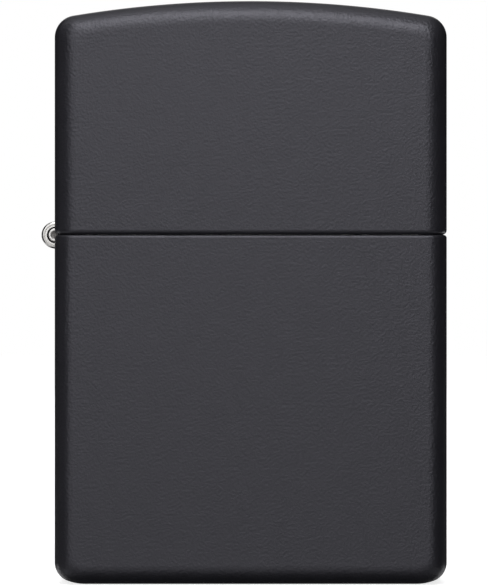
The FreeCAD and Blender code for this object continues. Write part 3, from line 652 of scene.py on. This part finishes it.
def knuckle_ring(start, end, centre, up):
    """A bmesh: a tongue rolled round the pin, with tumbled edges and a fine step on its end faces."""
    outer, inner, round_out = BARREL_RADIUS, WALL, KNUCKLE_ROUND
    face = [(inner, 0.5), (inner + 0.04, 0.14), (inner + 0.07, 0.0), (inner + 0.22, 0.0),
            (inner + 0.27, 0.05), (inner + 0.29, 0.05), (inner + 0.34, 0.0), (outer - round_out, 0.0)]
    face += [(outer - round_out * (1 - sin(a)), round_out * (1 - cos(a)))
             for a in (radians(15 * k) for k in range(1, 7))]
    profile = [(radius, start + dip) for radius, dip in face]
    profile += [(radius, end - dip) for radius, dip in reversed(face)]
    made = bmesh.new()
    sections = []
    for step in range(CURL_STEPS + 1):
        angle = radians(CURL_TURN * step / CURL_STEPS)
        across, rise = cos(angle), -up * sin(angle)
        sections.append([(centre.x + radius * across, y, centre.z + radius * rise)
                         for radius, y in profile])
    add_tube(made, sections)
    bmesh.ops.recalc_face_normals(made, faces=made.faces)
    return made


def weld_dent(side, up):
    """The cutter for one of a leaf's two spot-weld dents."""
    made = lathe([(0.0, -0.02), (0.45, 0.1), (WELD_RADIUS, 0.32), (WELD_RADIUS, 0.6), (0.0, 0.6)],
                 (0, 0, 0), "z", 24)
    middle = (LEAF_LENGTH + BARREL_RADIUS + BARREL_ROOM) / 2
    turn = Matrix.Rotation(radians(90), 4, "Y")
    shift = Matrix.Translation((hinge_axis.x + BARREL_RADIUS - WELD_DEPTH, side * LEAF_WIDTH / 4,
                                hinge_axis.z + up * middle))
    bmesh.ops.transform(made, matrix=shift @ turn, verts=made.verts)
    return made


def build_hinge_leaf(name, node, body, knuckles, up):
    """A leaf with tongues rolled round the pin, and two spot-weld dents. up is 1 for the lid's leaf."""
    knuckle = (LEAF_WIDTH - 4 * KNUCKLE_GAP) / 5
    axis_x, axis_z = hinge_axis.x, hinge_axis.z
    near, far, half = BARREL_RADIUS + BARREL_ROOM, LEAF_LENGTH, LEAF_WIDTH / 2
    starts = [-half + place * (knuckle + KNUCKLE_GAP) for place in knuckles]
    comb = [(-half, near), (-half, far), (half, far), (half, near)]
    sheet = prism([(y, axis_z + up * z) for y, z in rounded(comb, [0, LEAF_CORNER, LEAF_CORNER, 0])],
                  axis_x + WALL, axis_x + BARREL_RADIUS, "x")
    for start in starts:
        end, tip = start + knuckle, axis_z + up * (near + TONGUE_OVERLAP)
        tongue = prism([(start, axis_z), (start, tip), (end, tip), (end, axis_z)],
                       axis_x + WALL, axis_x + BARREL_RADIUS, "x")
        sheet = combine(sheet, tongue, "UNION")
    soften(sheet, SHEET_EDGE, angle=50, segments=3)
    sheet = carve(sheet, weld_dent(-1, up), weld_dent(1, up))
    for start in starts:
        sheet = combine(sheet, knuckle_ring(start, start + knuckle, hinge_axis, up), "UNION")
    return make_piece(name, sheet, body, [NICKEL], [node], flat_sided=True)


def build_hinge_pin():
    """The pin, with rounded ends that are dimpled where they were staked, and painted shade on its outer edge
    and side near each end.
    """
    low, high = box_mm("hinge_pin")
    radius, half = (high.x - low.x) / 2, (high.y - low.y) / 2
    neck = radius - PIN_NECK
    end = [(0.0, half - 0.06), (0.2, half - 0.05), (0.36, half - 0.03), (0.42, half),
           (neck - 0.08, half), (neck - 0.03, half - 0.02), (neck, half - 0.08), (neck, half - 0.5),
           (radius, half - 0.6)]
    profile = end + [(x, -y) for x, y in reversed(end)]
    made = lathe(profile, (hinge_axis.x, 0, hinge_axis.z), "y", 56)
    # Near each end, faces off the polished ring get the dark sheared steel: in the dimple it is the steel's
    # own colour, on the outer edge and side it is painted shade where the pin meets the knuckles.
    for face in made.faces:
        middle = face.calc_center_median() - hinge_axis
        off_axis = hypot(middle.x, middle.z)
        on_bright_ring = PIN_DIMPLE < off_axis < neck - 0.02
        if abs(middle.y) > half - PIN_END_DEPTH and not on_bright_ring:
            face.material_index = 1
    return make_piece("hinge_pin_staked", made, "case", [PIN_STEEL, PIN_END_AND_SHADE],
                      ["hinge_pin"], sharp=50)


# ---- insert

def tank_holes():
    """The cutters for the wick's hole and the flint tube's, in the tank's top and the chimney's floor."""
    return [cylinder(radius, 30, 40, (x, 0, 0), "z")
            for x, radius in ((WICK_CENTRE, WICK_RADIUS + WICK_ROOM), (wheel_axis.x, TUBE_RADIUS))]


def build_tank():
    """The drawn steel tank with round shoulders."""
    centre_x = (tank_low.x + tank_high.x) / 2
    half_x, half_y = (tank_high.x - tank_low.x) / 2, tank_high.y
    made = bmesh.new()
    feet = []
    for wall in (0.0, TANK_WALL):
        top, corner, shoulder = tank_high.z - wall, TANK_CORNER - wall, TANK_SHOULDER - wall
        places = [(0.0, tank_low.z), (0.0, tank_low.z + SUPPORT), (0.0, top - shoulder - SUPPORT)]
        places += [(shoulder * (1 - cos(radians(a))),
                    top - shoulder + shoulder * sin(radians(a))) for a in range(0, 91, 9)]
        places.append((shoulder + SUPPORT, top))
        loops = [[(x, y, z) for x, y in rounded_rectangle(
            half_x - wall - inset, half_y - wall - inset, max(corner - inset, 0.05), centre_x)]
            for inset, z in places]
        rows = add_loops(made, loops)
        add_cap(made, rows[-1])
        feet.append(rows[0])
    join_loops(made, feet)
    made = carve(made, *tank_holes())
    return make_piece("tank", made, "case", [INSERT_STEEL], ["insert_tank"],
                      flat_sided=True)


def chimney_plan():
    """The windscreen's sheet seen from above, as one closed outline with rounded bends."""
    slant, gauge = 0.4 * SHEET, SHEET
    front = [
        (CAM_EAR_END, -CAM_EAR_HALF, 0), (SCREEN_LEFT, -CAM_EAR_HALF, 0.5),
        (SCREEN_LEFT + JOG, -SCREEN_HALF, 1.1), (SCREEN_RIGHT, -SCREEN_HALF, 1.1),
        (SCREEN_RIGHT + JOG, -WHEEL_EAR_HALF, 0.6), (WHEEL_EAR_END, -WHEEL_EAR_HALF, 0),
        (WHEEL_EAR_END, -WHEEL_EAR_HALF + gauge, 0),
        (SCREEN_RIGHT + JOG + slant, -WHEEL_EAR_HALF + gauge, 1.1),
        (SCREEN_RIGHT + slant, -SCREEN_HALF + gauge, 0.6),
        (SCREEN_LEFT + JOG + 0.6 * gauge, -SCREEN_HALF + gauge, 0.6),
        (SCREEN_LEFT + 1.1 * gauge, -CAM_EAR_HALF, 0.9),
    ]
    back = [(x, -y, radius) for x, y, radius in reversed(front)]
    inside = CAM_EAR_HALF - gauge
    pocket = [(CAM_EAR_END, inside, 0), (SCREEN_LEFT, inside, 0.25),
              (SCREEN_LEFT, -inside, 0.25), (CAM_EAR_END, -inside, 0)]
    corners = front + back + pocket
    return rounded([corner[:2] for corner in corners], [corner[2] for corner in corners], steps=6)


def chimney_trims():
    """What is cut away above the ears, seen from the front, and between the floor and the ears' ends."""
    above, depth, top_corner = chimney_high.z + 1, 3 * SCREEN_HALF, SCREEN_TOP_CORNER
    cam_top = cam_pivot.z + EAR_RADIUS
    left = [(CAM_EAR_END - 1, cam_pivot.z)]
    left += arc(cam_pivot.x, cam_pivot.z, EAR_RADIUS, 180, 90, 14)
    left += rounded([(cam_pivot.x + 0.1, cam_top), (SCREEN_LEFT, cam_top), (SCREEN_LEFT, cam_top + 2)],
                    0.9, 6, closed=False)[1:-1]
    left += arc(SCREEN_LEFT + top_corner, chimney_high.z - top_corner, top_corner, 180, 90, 10)
    left += [(SCREEN_LEFT + top_corner, above), (CAM_EAR_END - 1, above)]
    wheel_top = wheel_axis.z + EAR_RADIUS
    edge = SCREEN_RIGHT + 0.6
    right = [(edge - top_corner, above)]
    right += arc(edge - top_corner, chimney_high.z - top_corner, top_corner, 90, 0, 10)
    right += rounded([(edge, chimney_high.z - 2), (edge, wheel_top), (wheel_axis.x, wheel_top)],
                     1.0, 6, closed=False)[1:-1]
    right += arc(wheel_axis.x, wheel_axis.z, EAR_RADIUS, 90, 0, 14)
    right += [(WHEEL_EAR_END, FLOOR + STRIP_SLOT), (WHEEL_EAR_END + 1, FLOOR + STRIP_SLOT),
              (WHEEL_EAR_END + 1, above)]
    return [prism(outline, -depth, depth, "y") for outline in (left, right)]


def build_chimney():
    made = prism(chimney_plan(), tank_high.z, chimney_high.z, "z")
    made = carve(made, *chimney_trims())
    depth = 2 * SCREEN_HALF
    middle = (SCREEN_LEFT + JOG + SCREEN_RIGHT) / 2
    bores = [(middle + place * AIR_PITCH, AIR_ROW + row * AIR_RISE, AIR_HOLE)
             for row, places in ((-1, (-1, 0, 1)), (0, (-0.5, 0.5)), (1, (-1, 0, 1))) for place in places]
    bores += [(cam_pivot.x, cam_pivot.z, RIVET_RADIUS), (wheel_axis.x, wheel_axis.z, RIVET_RADIUS)]
    made = carve(made, *[cylinder(radius, -depth, depth, (x, 0, z), "y", 36) for x, z, radius in bores])
    side = STRIP_HALF + STRIP_ROOM
    slot = prism(rounded(rectangle(-side, FLOOR - STRIP_ROOM, side, FLOOR + STRIP_SLOT),
                         [0, 0, 0.4, 0.4]), SCREEN_LEFT - 0.6, SCREEN_LEFT + 1, "x")
    made = carve(made, slot)
    plate = prism(rounded(rectangle(CAM_EAR_END, -CAM_EAR_HALF, WHEEL_EAR_END, CAM_EAR_HALF), 0.3),
                  tank_high.z, FLOOR, "z")
    made = combine(made, carve(plate, *tank_holes()), "UNION")
    soften(made, SHEET_EDGE, angle=50)
    return make_piece("windscreen", made, "case", [INSERT_STEEL], ["chimney"],
                      flat_sided=True)


def build_rivet(name, node, centre, half):
    """A rivet through two ears: a low dome on each side with a shallow staking ring."""
    outer, crown = RIVET_HEAD_RADIUS, half + RIVET_HEAD
    head = [(0.0, crown - 0.16), (0.28, crown - 0.15), (0.42, crown - 0.03), (0.55, crown),
            (outer - 0.45, crown - 0.02), (outer - 0.16, crown - 0.12), (outer - 0.03, crown - 0.26),
            (outer, half + 0.1), (outer - 0.03, half), (RIVET_RADIUS, half)]
    made = lathe(head + [(radius, -along) for radius, along in reversed(head)], centre, "y", 48)
    return make_piece(name, made, "case", [RIVET_STEEL], [node])


def wheel_radius_at(angle, along):
    """The wheel's radius: saw teeth at a slight skew, crossed by spiral grooves."""
    turn = angle / (2 * pi)
    tooth = (TEETH * turn + TOOTH_SKEW * along) % 1.0
    saw = tooth / TOOTH_RISE if tooth < TOOTH_RISE else (1 - tooth) / (1 - TOOTH_RISE)
    spiral = (along / GROOVE_PITCH - turn * GROOVE_STARTS) % 1.0
    groove = min(1.0, abs(spiral - 0.5) / GROOVE_HALF)
    edge = max(0.0, abs(along) - (WHEEL_HALF - WHEEL_EDGE)) / WHEEL_EDGE
    return (WHEEL_RADIUS - TOOTH_DEPTH * (1 - saw) - GROOVE_DEPTH * (1 - groove)
            - WHEEL_EDGE_DROP * edge * edge)


def wheel_ring(radius_at, along):
    """One ring round the wheel's axis. radius_at gives the radius at an angle."""
    ring = []
    for step in range(TEETH * TOOTH_STEPS):
        angle = 2 * pi * step / (TEETH * TOOTH_STEPS)
        across, up = polar(radius_at(angle), angle)
        ring.append((wheel_axis.x + across, along, wheel_axis.z + up))
    return ring


def build_wheel():
    """The striking wheel, with a cross-cut rim, recessed sides and a hub."""
    bore = RIVET_RADIUS + RIVET_PLAY
    side = [(bore, 0.1), (bore + 0.1, 0.0), (1.75, 0.0), (1.85, 0.25), (2.75, 0.25), (2.95, 0.02),
            (3.05, 0.0)]
    loops = [wheel_ring(lambda angle, r=radius: r, -WHEEL_HALF + dip) for radius, dip in side]
    for step in range(WHEEL_STEPS + 1):
        along = -WHEEL_HALF + 2 * WHEEL_HALF * step / WHEEL_STEPS
        loops.append(wheel_ring(lambda angle, y=along: wheel_radius_at(angle, y), along))
    loops += [wheel_ring(lambda angle, r=radius: r, WHEEL_HALF - dip) for radius, dip in reversed(side)]
    made = bmesh.new()
    rows = add_loops(made, loops)
    join_loops(made, [rows[-1], rows[0]])
    return make_piece("striking_wheel", made, "wheel", [WHEEL_STEEL], ["flint_wheel"],
                      sharp=40)


def build_cam():
    """The snap cam: a hub with two flats and a claw."""
    lean = radians(CAM_LEAN)
    toe = Vector((CAM_REACH * cos(lean), CAM_REACH * sin(lean)))
    across = Vector((sin(lean), -cos(lean))) * CAM_TOE
    outline = [(-CAM_FLAT + 0.45, -CAM_FLAT)]
    outline += bulged((CAM_HUB * 0.6, -CAM_FLAT), (CAM_HUB, 0.2), CAM_HUB * 1.1, 1, 8)
    outline += bulged((CAM_HUB, 0.2), toe + across, 8.4, 1, 20)[1:]
    outline += arc(toe.x, toe.y, CAM_TOE, CAM_LEAN - 90, CAM_LEAN + 90, 12)[1:]
    outline += bulged(toe - across, (-CAM_FLAT, 0.9), 8.6, -1, 20)[1:]
    outline += bulged((-CAM_FLAT, -CAM_FLAT + 0.45), (-CAM_FLAT + 0.45, -CAM_FLAT), 0.6, 1, 5)[:-1]
    plate = prism([(cam_pivot.x + x, cam_pivot.z + z) for x, z in outline], -CAM_HALF, CAM_HALF, "y")
    plate = carve(plate, cylinder(RIVET_RADIUS + RIVET_PLAY, -5, 5, (cam_pivot.x, 0, cam_pivot.z), "y", 36))
    soften(plate, 0.14, angle=50, segments=3)
    return make_piece("snap_cam", plate, "cam", [CAM_STEEL], ["cam"], flat_sided=True)


def build_cam_spring():
    """The leaf spring: flat on the chimney's floor, then stepped up under the cam."""
    step = cam_pivot.z - CAM_FLAT - STRIP_GAP - STRIP_GAUGE / 2
    foot = FLOOR + STRIP_GAUGE / 2
    line = rounded([(STRIP_RIVET + 1.7, foot), (SCREEN_LEFT - 0.45, foot), (cam_pivot.x + 1.05, step),
                    (cam_pivot.x - 1.35, step)], 1.2, 8, closed=False)
    edge = beside(line, STRIP_GAUGE / 2)
    under = beside(line, -STRIP_GAUGE / 2)
    made = prism(edge + under[::-1], -STRIP_HALF, STRIP_HALF, "y")
    soften(made, 0.05, angle=50)
    return make_piece("cam_leaf_spring", made, "case", [SPRING_STEEL], ["cam_spring"],
                      flat_sided=True)


def build_spring_rivet():
    under = FLOOR + STRIP_GAUGE
    top = under + RIVET_HEAD
    made = lathe([(0.0, tank_high.z), (RIVET_RADIUS, tank_high.z), (RIVET_RADIUS, under),
                  (RIVET_HEAD_RADIUS - 0.03, under), (RIVET_HEAD_RADIUS, under + 0.08),
                  (RIVET_HEAD_RADIUS - 0.1, under + 0.25), (RIVET_HEAD_RADIUS - 0.4, top - 0.05),
                  (0.5, top), (0.0, top)], (STRIP_RIVET, 0, 0), "z", 40)
    return make_piece("leaf_spring_rivet", made, "case", [RIVET_STEEL],
                      ["cam_spring_rivet"])


def build_flint_spring():
    """The coil spring in the flint tube, which shortens when the flint slides down; here it is built at one
    length.
    """
    low, high = box_mm("flint_spring")
    start, rise = low.z + COIL_WIRE, high.z - low.z - 2 * COIL_WIRE
    per_turn = 24
    loops = []
    for step in range(COIL_TURNS * per_turn + 1):
        turn = 2 * pi * step / per_turn
        out = Vector((*polar(1.0, turn), 0))
        level = start + rise * step / (COIL_TURNS * per_turn)
        centre = Vector((wheel_axis.x, 0, level)) + out * COIL_RADIUS
        loops.append([centre + out * across + Vector((0, 0, up))
                      for across, up in arc(0, 0, COIL_WIRE, 0, 330, 11)])
    made = bmesh.new()
    add_tube(made, loops)
    coil = make_piece("flint_coil_spring", made, "case", [SPRING_STEEL],
                      ["flint_spring"], sharp=50)
    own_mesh(coil)


# ---- wick and packing

def wick_route(step):
    """The wick's centre line as evenly spaced (x, z) points, from the top down and to and fro."""
    wall_left = tank_low.x + TANK_WALL + WICK_ROOM
    left, right = wall_left + WICK_BEND + WICK_RADIUS + 1.2, WICK_RIGHT_TURN
    level = FIRST_RUN
    corner = arc(WICK_CENTRE - WICK_BEND, level + WICK_BEND, WICK_BEND, 0, -90, 12)
    line = [(WICK_CENTRE, WICK_TOP)] + corner
    for turn in range(3):
        goes_left = turn % 2 == 0
        end = left if goes_left else right
        start, stop = (90, 270) if goes_left else (90, -90)
        line += arc(end, level - WICK_BEND, WICK_BEND, start, stop, 20)
        level -= 2 * WICK_BEND
    line.append((right, level))
    made, spare = [line[0]], 0.0
    for first, second in zip(line, line[1:]):
        run = Vector(second) - Vector(first)
        place = step - spare
        while place <= run.length:
            made.append(tuple(Vector(first) + run * (place / run.length)))
            place += step
        spare = run.length - (place - step)
    return made


def build_wick():
    """The braided cotton wick, with a frayed end in the chimney."""
    random.seed(11)
    around, step = WICK_AROUND, WICK_STEP
    route = wick_route(step)
    made = bmesh.new()
    loops = []
    for number, point in enumerate(route):
        before = Vector(route[max(number - 1, 0)])
        after = Vector(route[min(number + 1, len(route) - 1)])
        along = (after - before).normalized()
        side = Vector((along.y, -along.x))
        travel = number * step
        flare = 1.0 + 0.10 * exp(-travel / 0.8)
        ring = []
        for k in range(around):
            angle = 2 * pi * k / around
            twist = travel * BRAID_TWIST
            swell = max(cos(BRAIDS * angle + twist), cos(BRAIDS * angle - twist))
            radius = WICK_RADIUS * flare * (BRAID_LOW + BRAID_RISE * swell)
            out, deep = polar(radius, angle)
            ring.append((point[0] + side.x * out, deep, point[1] + side.y * out))
        loops.append(ring)
    rows = add_loops(made, loops)
    centre = made.verts.new((WICK_CENTRE, 0, WICK_TOP + 0.25))
    inner = [made.verts.new((WICK_CENTRE + (vertex.co.x - WICK_CENTRE) * 0.6, vertex.co.y * 0.6,
                             WICK_TOP + 0.2)) for vertex in rows[0]]
    join_loops(made, [rows[0], inner])
    for k in range(around):
        made.faces.new([inner[k], inner[(k + 1) % around], centre])
    add_cap(made, rows[-1])
    for _ in range(WICK_FIBRES):
        add_fibre(made)
    return make_piece("braided_wick", made, "case", [COTTON], ["wick"], sharp=80)


def add_fibre(made):
    """One loose thread of the wick's frayed end: a thin tapering tube with a bend."""
    turn = random.uniform(0, 2 * pi)
    start = WICK_RADIUS * 0.9 * sqrt(random.random())
    length = random.uniform(0.5, 1.3)
    lean = random.uniform(0.05, 0.55) * start / WICK_RADIUS
    drift = random.uniform(-0.3, 0.3)
    radius = random.uniform(0.05, 0.09)
    loops = []
    for step in range(6):
        share = step / 5
        out = start + lean * length * share * share
        spin = turn + drift * share * share
        across, deep = polar(out, spin)
        centre = Vector((WICK_CENTRE + across, deep,
                         WICK_TOP - 0.1 + length * share * sqrt(1 - 0.3 * lean)))
        thin = radius * (1 - 0.55 * share)
        loops.append([centre + Vector((*polar(thin, k * pi / 3), 0)) for k in range(6)])
    add_tube(made, loops)


def soft_block(node, seed):
    """A bmesh: a rounded, lumpy block of fibre that fills a CAD wad's box."""
    low, high = box_mm(node)
    centre, half = (low + high) / 2, (high - low) / 2
    made = bmesh.new()
    bmesh.ops.create_cube(made, size=2.0)
    cuts = max(4, int(2 * min(half) / WAD_MESH))
    bmesh.ops.subdivide_edges(made, edges=made.edges, cuts=cuts, use_grid_fill=True)
    corner = min(half) * 0.55
    shift = Vector((seed * 3.7, seed * 1.9, seed * 5.3))
    for vertex in made.verts:
        place = Vector(part * size for part, size in zip(vertex.co, half))
        core = Vector(max(-(size - corner), min(size - corner, part)) for part, size in zip(place, half))
        out = place - core
        if out.length > 1e-6:
            place = core + out.normalized() * corner
        lump = noise.fractal((place + shift) * 0.9, 0.8, 2.0, 4)
        inward = (place.normalized() if place.length else place) * WAD_FLUFF * (lump - 0.8)
        place += inward
        vertex.co = centre + Vector(max(-size, min(size, part)) for part, size in zip(place, half))
    return made


def build_packing():
    """The six cotton wads."""
    for number in range(1, 7):
        node = f"packing_ball_{number}"
        wad = make_piece(f"cotton_wad_{number}", soft_block(node, number), "case",
                         [COTTON], [node], sharp=80)


def build_felt():
    """The felt pad that closes the tank, with the flint screw's hole, the cut of the flap and a soft edge."""
    low, high = box_mm("felt_pad")
    centre_x, half_x, half_y = (low.x + high.x) / 2, (high.x - low.x) / 2, high.y
    outline = rounded_rectangle(half_x, half_y, FELT_CORNER, centre_x)
    plate = prism(outline, low.z, high.z, "z")
    hole = cylinder(SCREW_ROOM, 0.0, 9.0, (wheel_axis.x, 0, 0), "z")
    cut_x = centre_x - FLAP_CUT
    cut = prism(rectangle(cut_x, -half_y - 1, cut_x + FLAP_CUT_WIDTH, half_y + 1), low.z - 1,
                (low.z + high.z) / 2, "z")
    plate = carve(plate, hole, cut)
    soften(plate, 0.35, lambda edge: all(abs(vertex.co.y) > half_y - 1.4 or
                                         abs(vertex.co.x - centre_x) > half_x - 1.4
                                         for vertex in edge.verts), angle=60, segments=3)
    felt = make_piece("felt_closing_pad", plate, "case", [FELT], ["felt_pad"], sharp=50)


# ---- CAD pieces that stay

def finish_cad_nodes():
    """Materials for the CAD nodes that keep their own shape."""
    kept = {"flint_tube": BRASS, "flint_screw": BRASS, "spring_tip": BRASS, "flint": FLINT}
    for name, material in kept.items():
        mesh = frame["nodes"][name].data
        mesh.materials.clear()
        mesh.materials.append(material)


# ---- studio

def backdrop_material():
    """A plain glowing white."""
    made = bpy.data.materials.new("backdrop_white")
    made.use_nodes = True
    nodes = made.node_tree.nodes
    nodes.remove(nodes["Principled BSDF"])
    glow = nodes.new("ShaderNodeEmission")
    glow.inputs["Color"].default_value = (1.0, 1.0, 1.0, 1.0)
    glow.inputs["Strength"].default_value = 1.0
    made.node_tree.links.new(glow.outputs["Emission"], nodes["Material Output"].inputs["Surface"])
    return made


def floor_material():
    """A pale floor: it takes a soft shadow, glows white far off and is clear from below."""
    surface = Surface("studio_floor", (0.8, 0.8, 0.8), 0.9)
    surface.set("Specular IOR Level", 0.1)
    surface.set("Emission Color", (1.0, 1.0, 1.0, 1.0))
    distance = surface.nodes.new("ShaderNodeVectorMath")
    distance.operation = "LENGTH"
    surface.links.new(surface.coordinates, distance.inputs[0])
    glow = surface.between(distance.outputs["Value"], 0.78, 1.0, 0.05, 0.35)
    surface.links.new(glow, surface.shader.inputs["Emission Strength"])
    clear = surface.nodes.new("ShaderNodeBsdfTransparent")
    blend = surface.nodes.new("ShaderNodeMixShader")
    facing = surface.nodes.new("ShaderNodeNewGeometry")
    surface.links.new(facing.outputs["Backfacing"], blend.inputs["Fac"])
    surface.links.new(surface.shader.outputs["BSDF"], blend.inputs[1])
    surface.links.new(clear.outputs["BSDF"], blend.inputs[2])
    surface.links.new(blend.outputs["Shader"], surface.nodes["Material Output"].inputs["Surface"])
    return surface.material


def stage_object(name, mesh_data, material):
    """A backdrop or floor: the camera sees it, but it doesn't light the object."""
    made = add_object(name, mesh_data)
    made.data.materials.append(material)
    made.visible_diffuse = False
    made.visible_glossy = False
    made.visible_shadow = False
    return made


def panel(name, azimuth, elevation, distance, width, height, brightness, roll=0):
    """A softbox facing the lighter. Azimuth 0 is in front and 90 on the right, in degrees."""
    turn, lift = radians(azimuth), radians(elevation)
    back = Vector((sin(turn) * cos(lift), -cos(turn) * cos(lift), sin(lift)))
    light = bpy.data.lights.new(f"{name}_panel", "AREA")
    light.shape = "RECTANGLE"
    light.size, light.size_y = width, height
    light.energy = brightness * pi * width * height
    made = bpy.data.objects.new(light.name, light)
    made.location = Vector((0.0, 0.0, (SEAM - 5) * MM)) + back * distance
    aim = (-back).to_track_quat("-Z", "Y").to_matrix().to_4x4()
    made.rotation_euler = (aim @ Matrix.Rotation(radians(roll), 4, "Z")).to_euler()
    made.visible_camera = False
    bpy.context.scene.collection.objects.link(made)


def build_studio():
    floor = bmesh.new()
    bmesh.ops.create_grid(floor, x_segments=1, y_segments=1, size=FLOOR_HALF)
    bmesh.ops.translate(floor, verts=floor.verts, vec=(0, 0, -FLOOR_DROP))
    stage_object("floor", floor, floor_material())
    dome = bmesh.new()
    bmesh.ops.create_uvsphere(dome, u_segments=48, v_segments=24, radius=DOME_RADIUS)
    stage_object("backdrop", dome, backdrop_material())

    world = bpy.data.worlds.new("studio")
    bpy.context.scene.world = world
    world.use_nodes = True
    background = world.node_tree.nodes["Background"]
    background.inputs["Color"].default_value = (1.0, 1.0, 1.0, 1.0)
    background.inputs["Strength"].default_value = 0.012

    panel("front_upper", -5, 18.5, 0.32, 0.31, 0.205, 1.90)
    panel("front_lower", -5, -20, 0.32, 0.33, 0.22, 0.72)
    panel("top_front", 0, 49.5, 0.22, 0.18, 0.09, 5.9, roll=-30)
    panel("top", 0, 89, 0.40, 0.30, 0.28, 0.95)
    panel("top_back", 180, 50, 0.50, 0.45, 0.25, 0.3)
    panel("top_left", -90, 55, 0.75, 0.45, 0.35, 0.8)
    panel("top_right", 90, 55, 0.75, 0.45, 0.35, 0.2)
    panel("left", -80, 5, 0.60, 0.50, 0.50, 0.12)
    panel("back", 180, 22, 0.80, 0.55, 0.40, 0.8)
    panel("low_back_left", -132, -30, 0.60, 0.45, 0.30, 1.4)
    panel("low_back_right", 132, -30, 0.60, 0.45, 0.30, 1.2)
    panel("low_left", -62, -46, 0.60, 0.36, 0.26, 0.9)
    panel("low_right", 62, -46, 0.60, 0.36, 0.26, 0.6)


def build_camera():
    """A long lens at the front, level with the lighter's middle. FRAME_SHARE is the part of the
    picture's height that the lighter fills, NEAREST_SHARE the depth at which that is measured."""
    low, high = cad_box
    centre = (low + high) / 2
    picture_height = (high.z - low.z) / FRAME_SHARE
    nearest = low.y * NEAREST_SHARE
    camera = bpy.data.cameras.new("camera")
    camera.sensor_fit = "VERTICAL"
    camera.sensor_height = 36.0
    camera.lens = camera.sensor_height * (CAMERA_DISTANCE + nearest) / picture_height
    camera.clip_start, camera.clip_end = 0.02, 10.0
    made = bpy.data.objects.new("camera", camera)
    made.location = (centre.x, -CAMERA_DISTANCE, centre.z - CAMERA_DROP)
    made.rotation_euler = (pi / 2, 0, 0)
    bpy.context.scene.collection.objects.link(made)
    bpy.context.scene.camera = made


build_camera()
build_studio()
build_case_bottom()
build_case_lid()
build_hinge_leaf("case_hinge_leaf", "hinge_leaf_bottom", "case", (0, 2, 4), -1)
build_hinge_leaf("lid_hinge_leaf", "hinge_leaf_lid", "lid", (1, 3), 1)
build_hinge_pin()
build_tank()
build_chimney()
build_rivet("striking_wheel_rivet", "wheel_rivet", wheel_axis, WHEEL_EAR_HALF)
build_rivet("snap_cam_rivet", "cam_rivet", cam_pivot, CAM_EAR_HALF)
build_wheel()
build_cam()
build_cam_spring()
build_spring_rivet()
build_flint_spring()
build_wick()
build_packing()
build_felt()
finish_cad_nodes()

bpy.context.scene.view_settings.view_transform = "Standard"
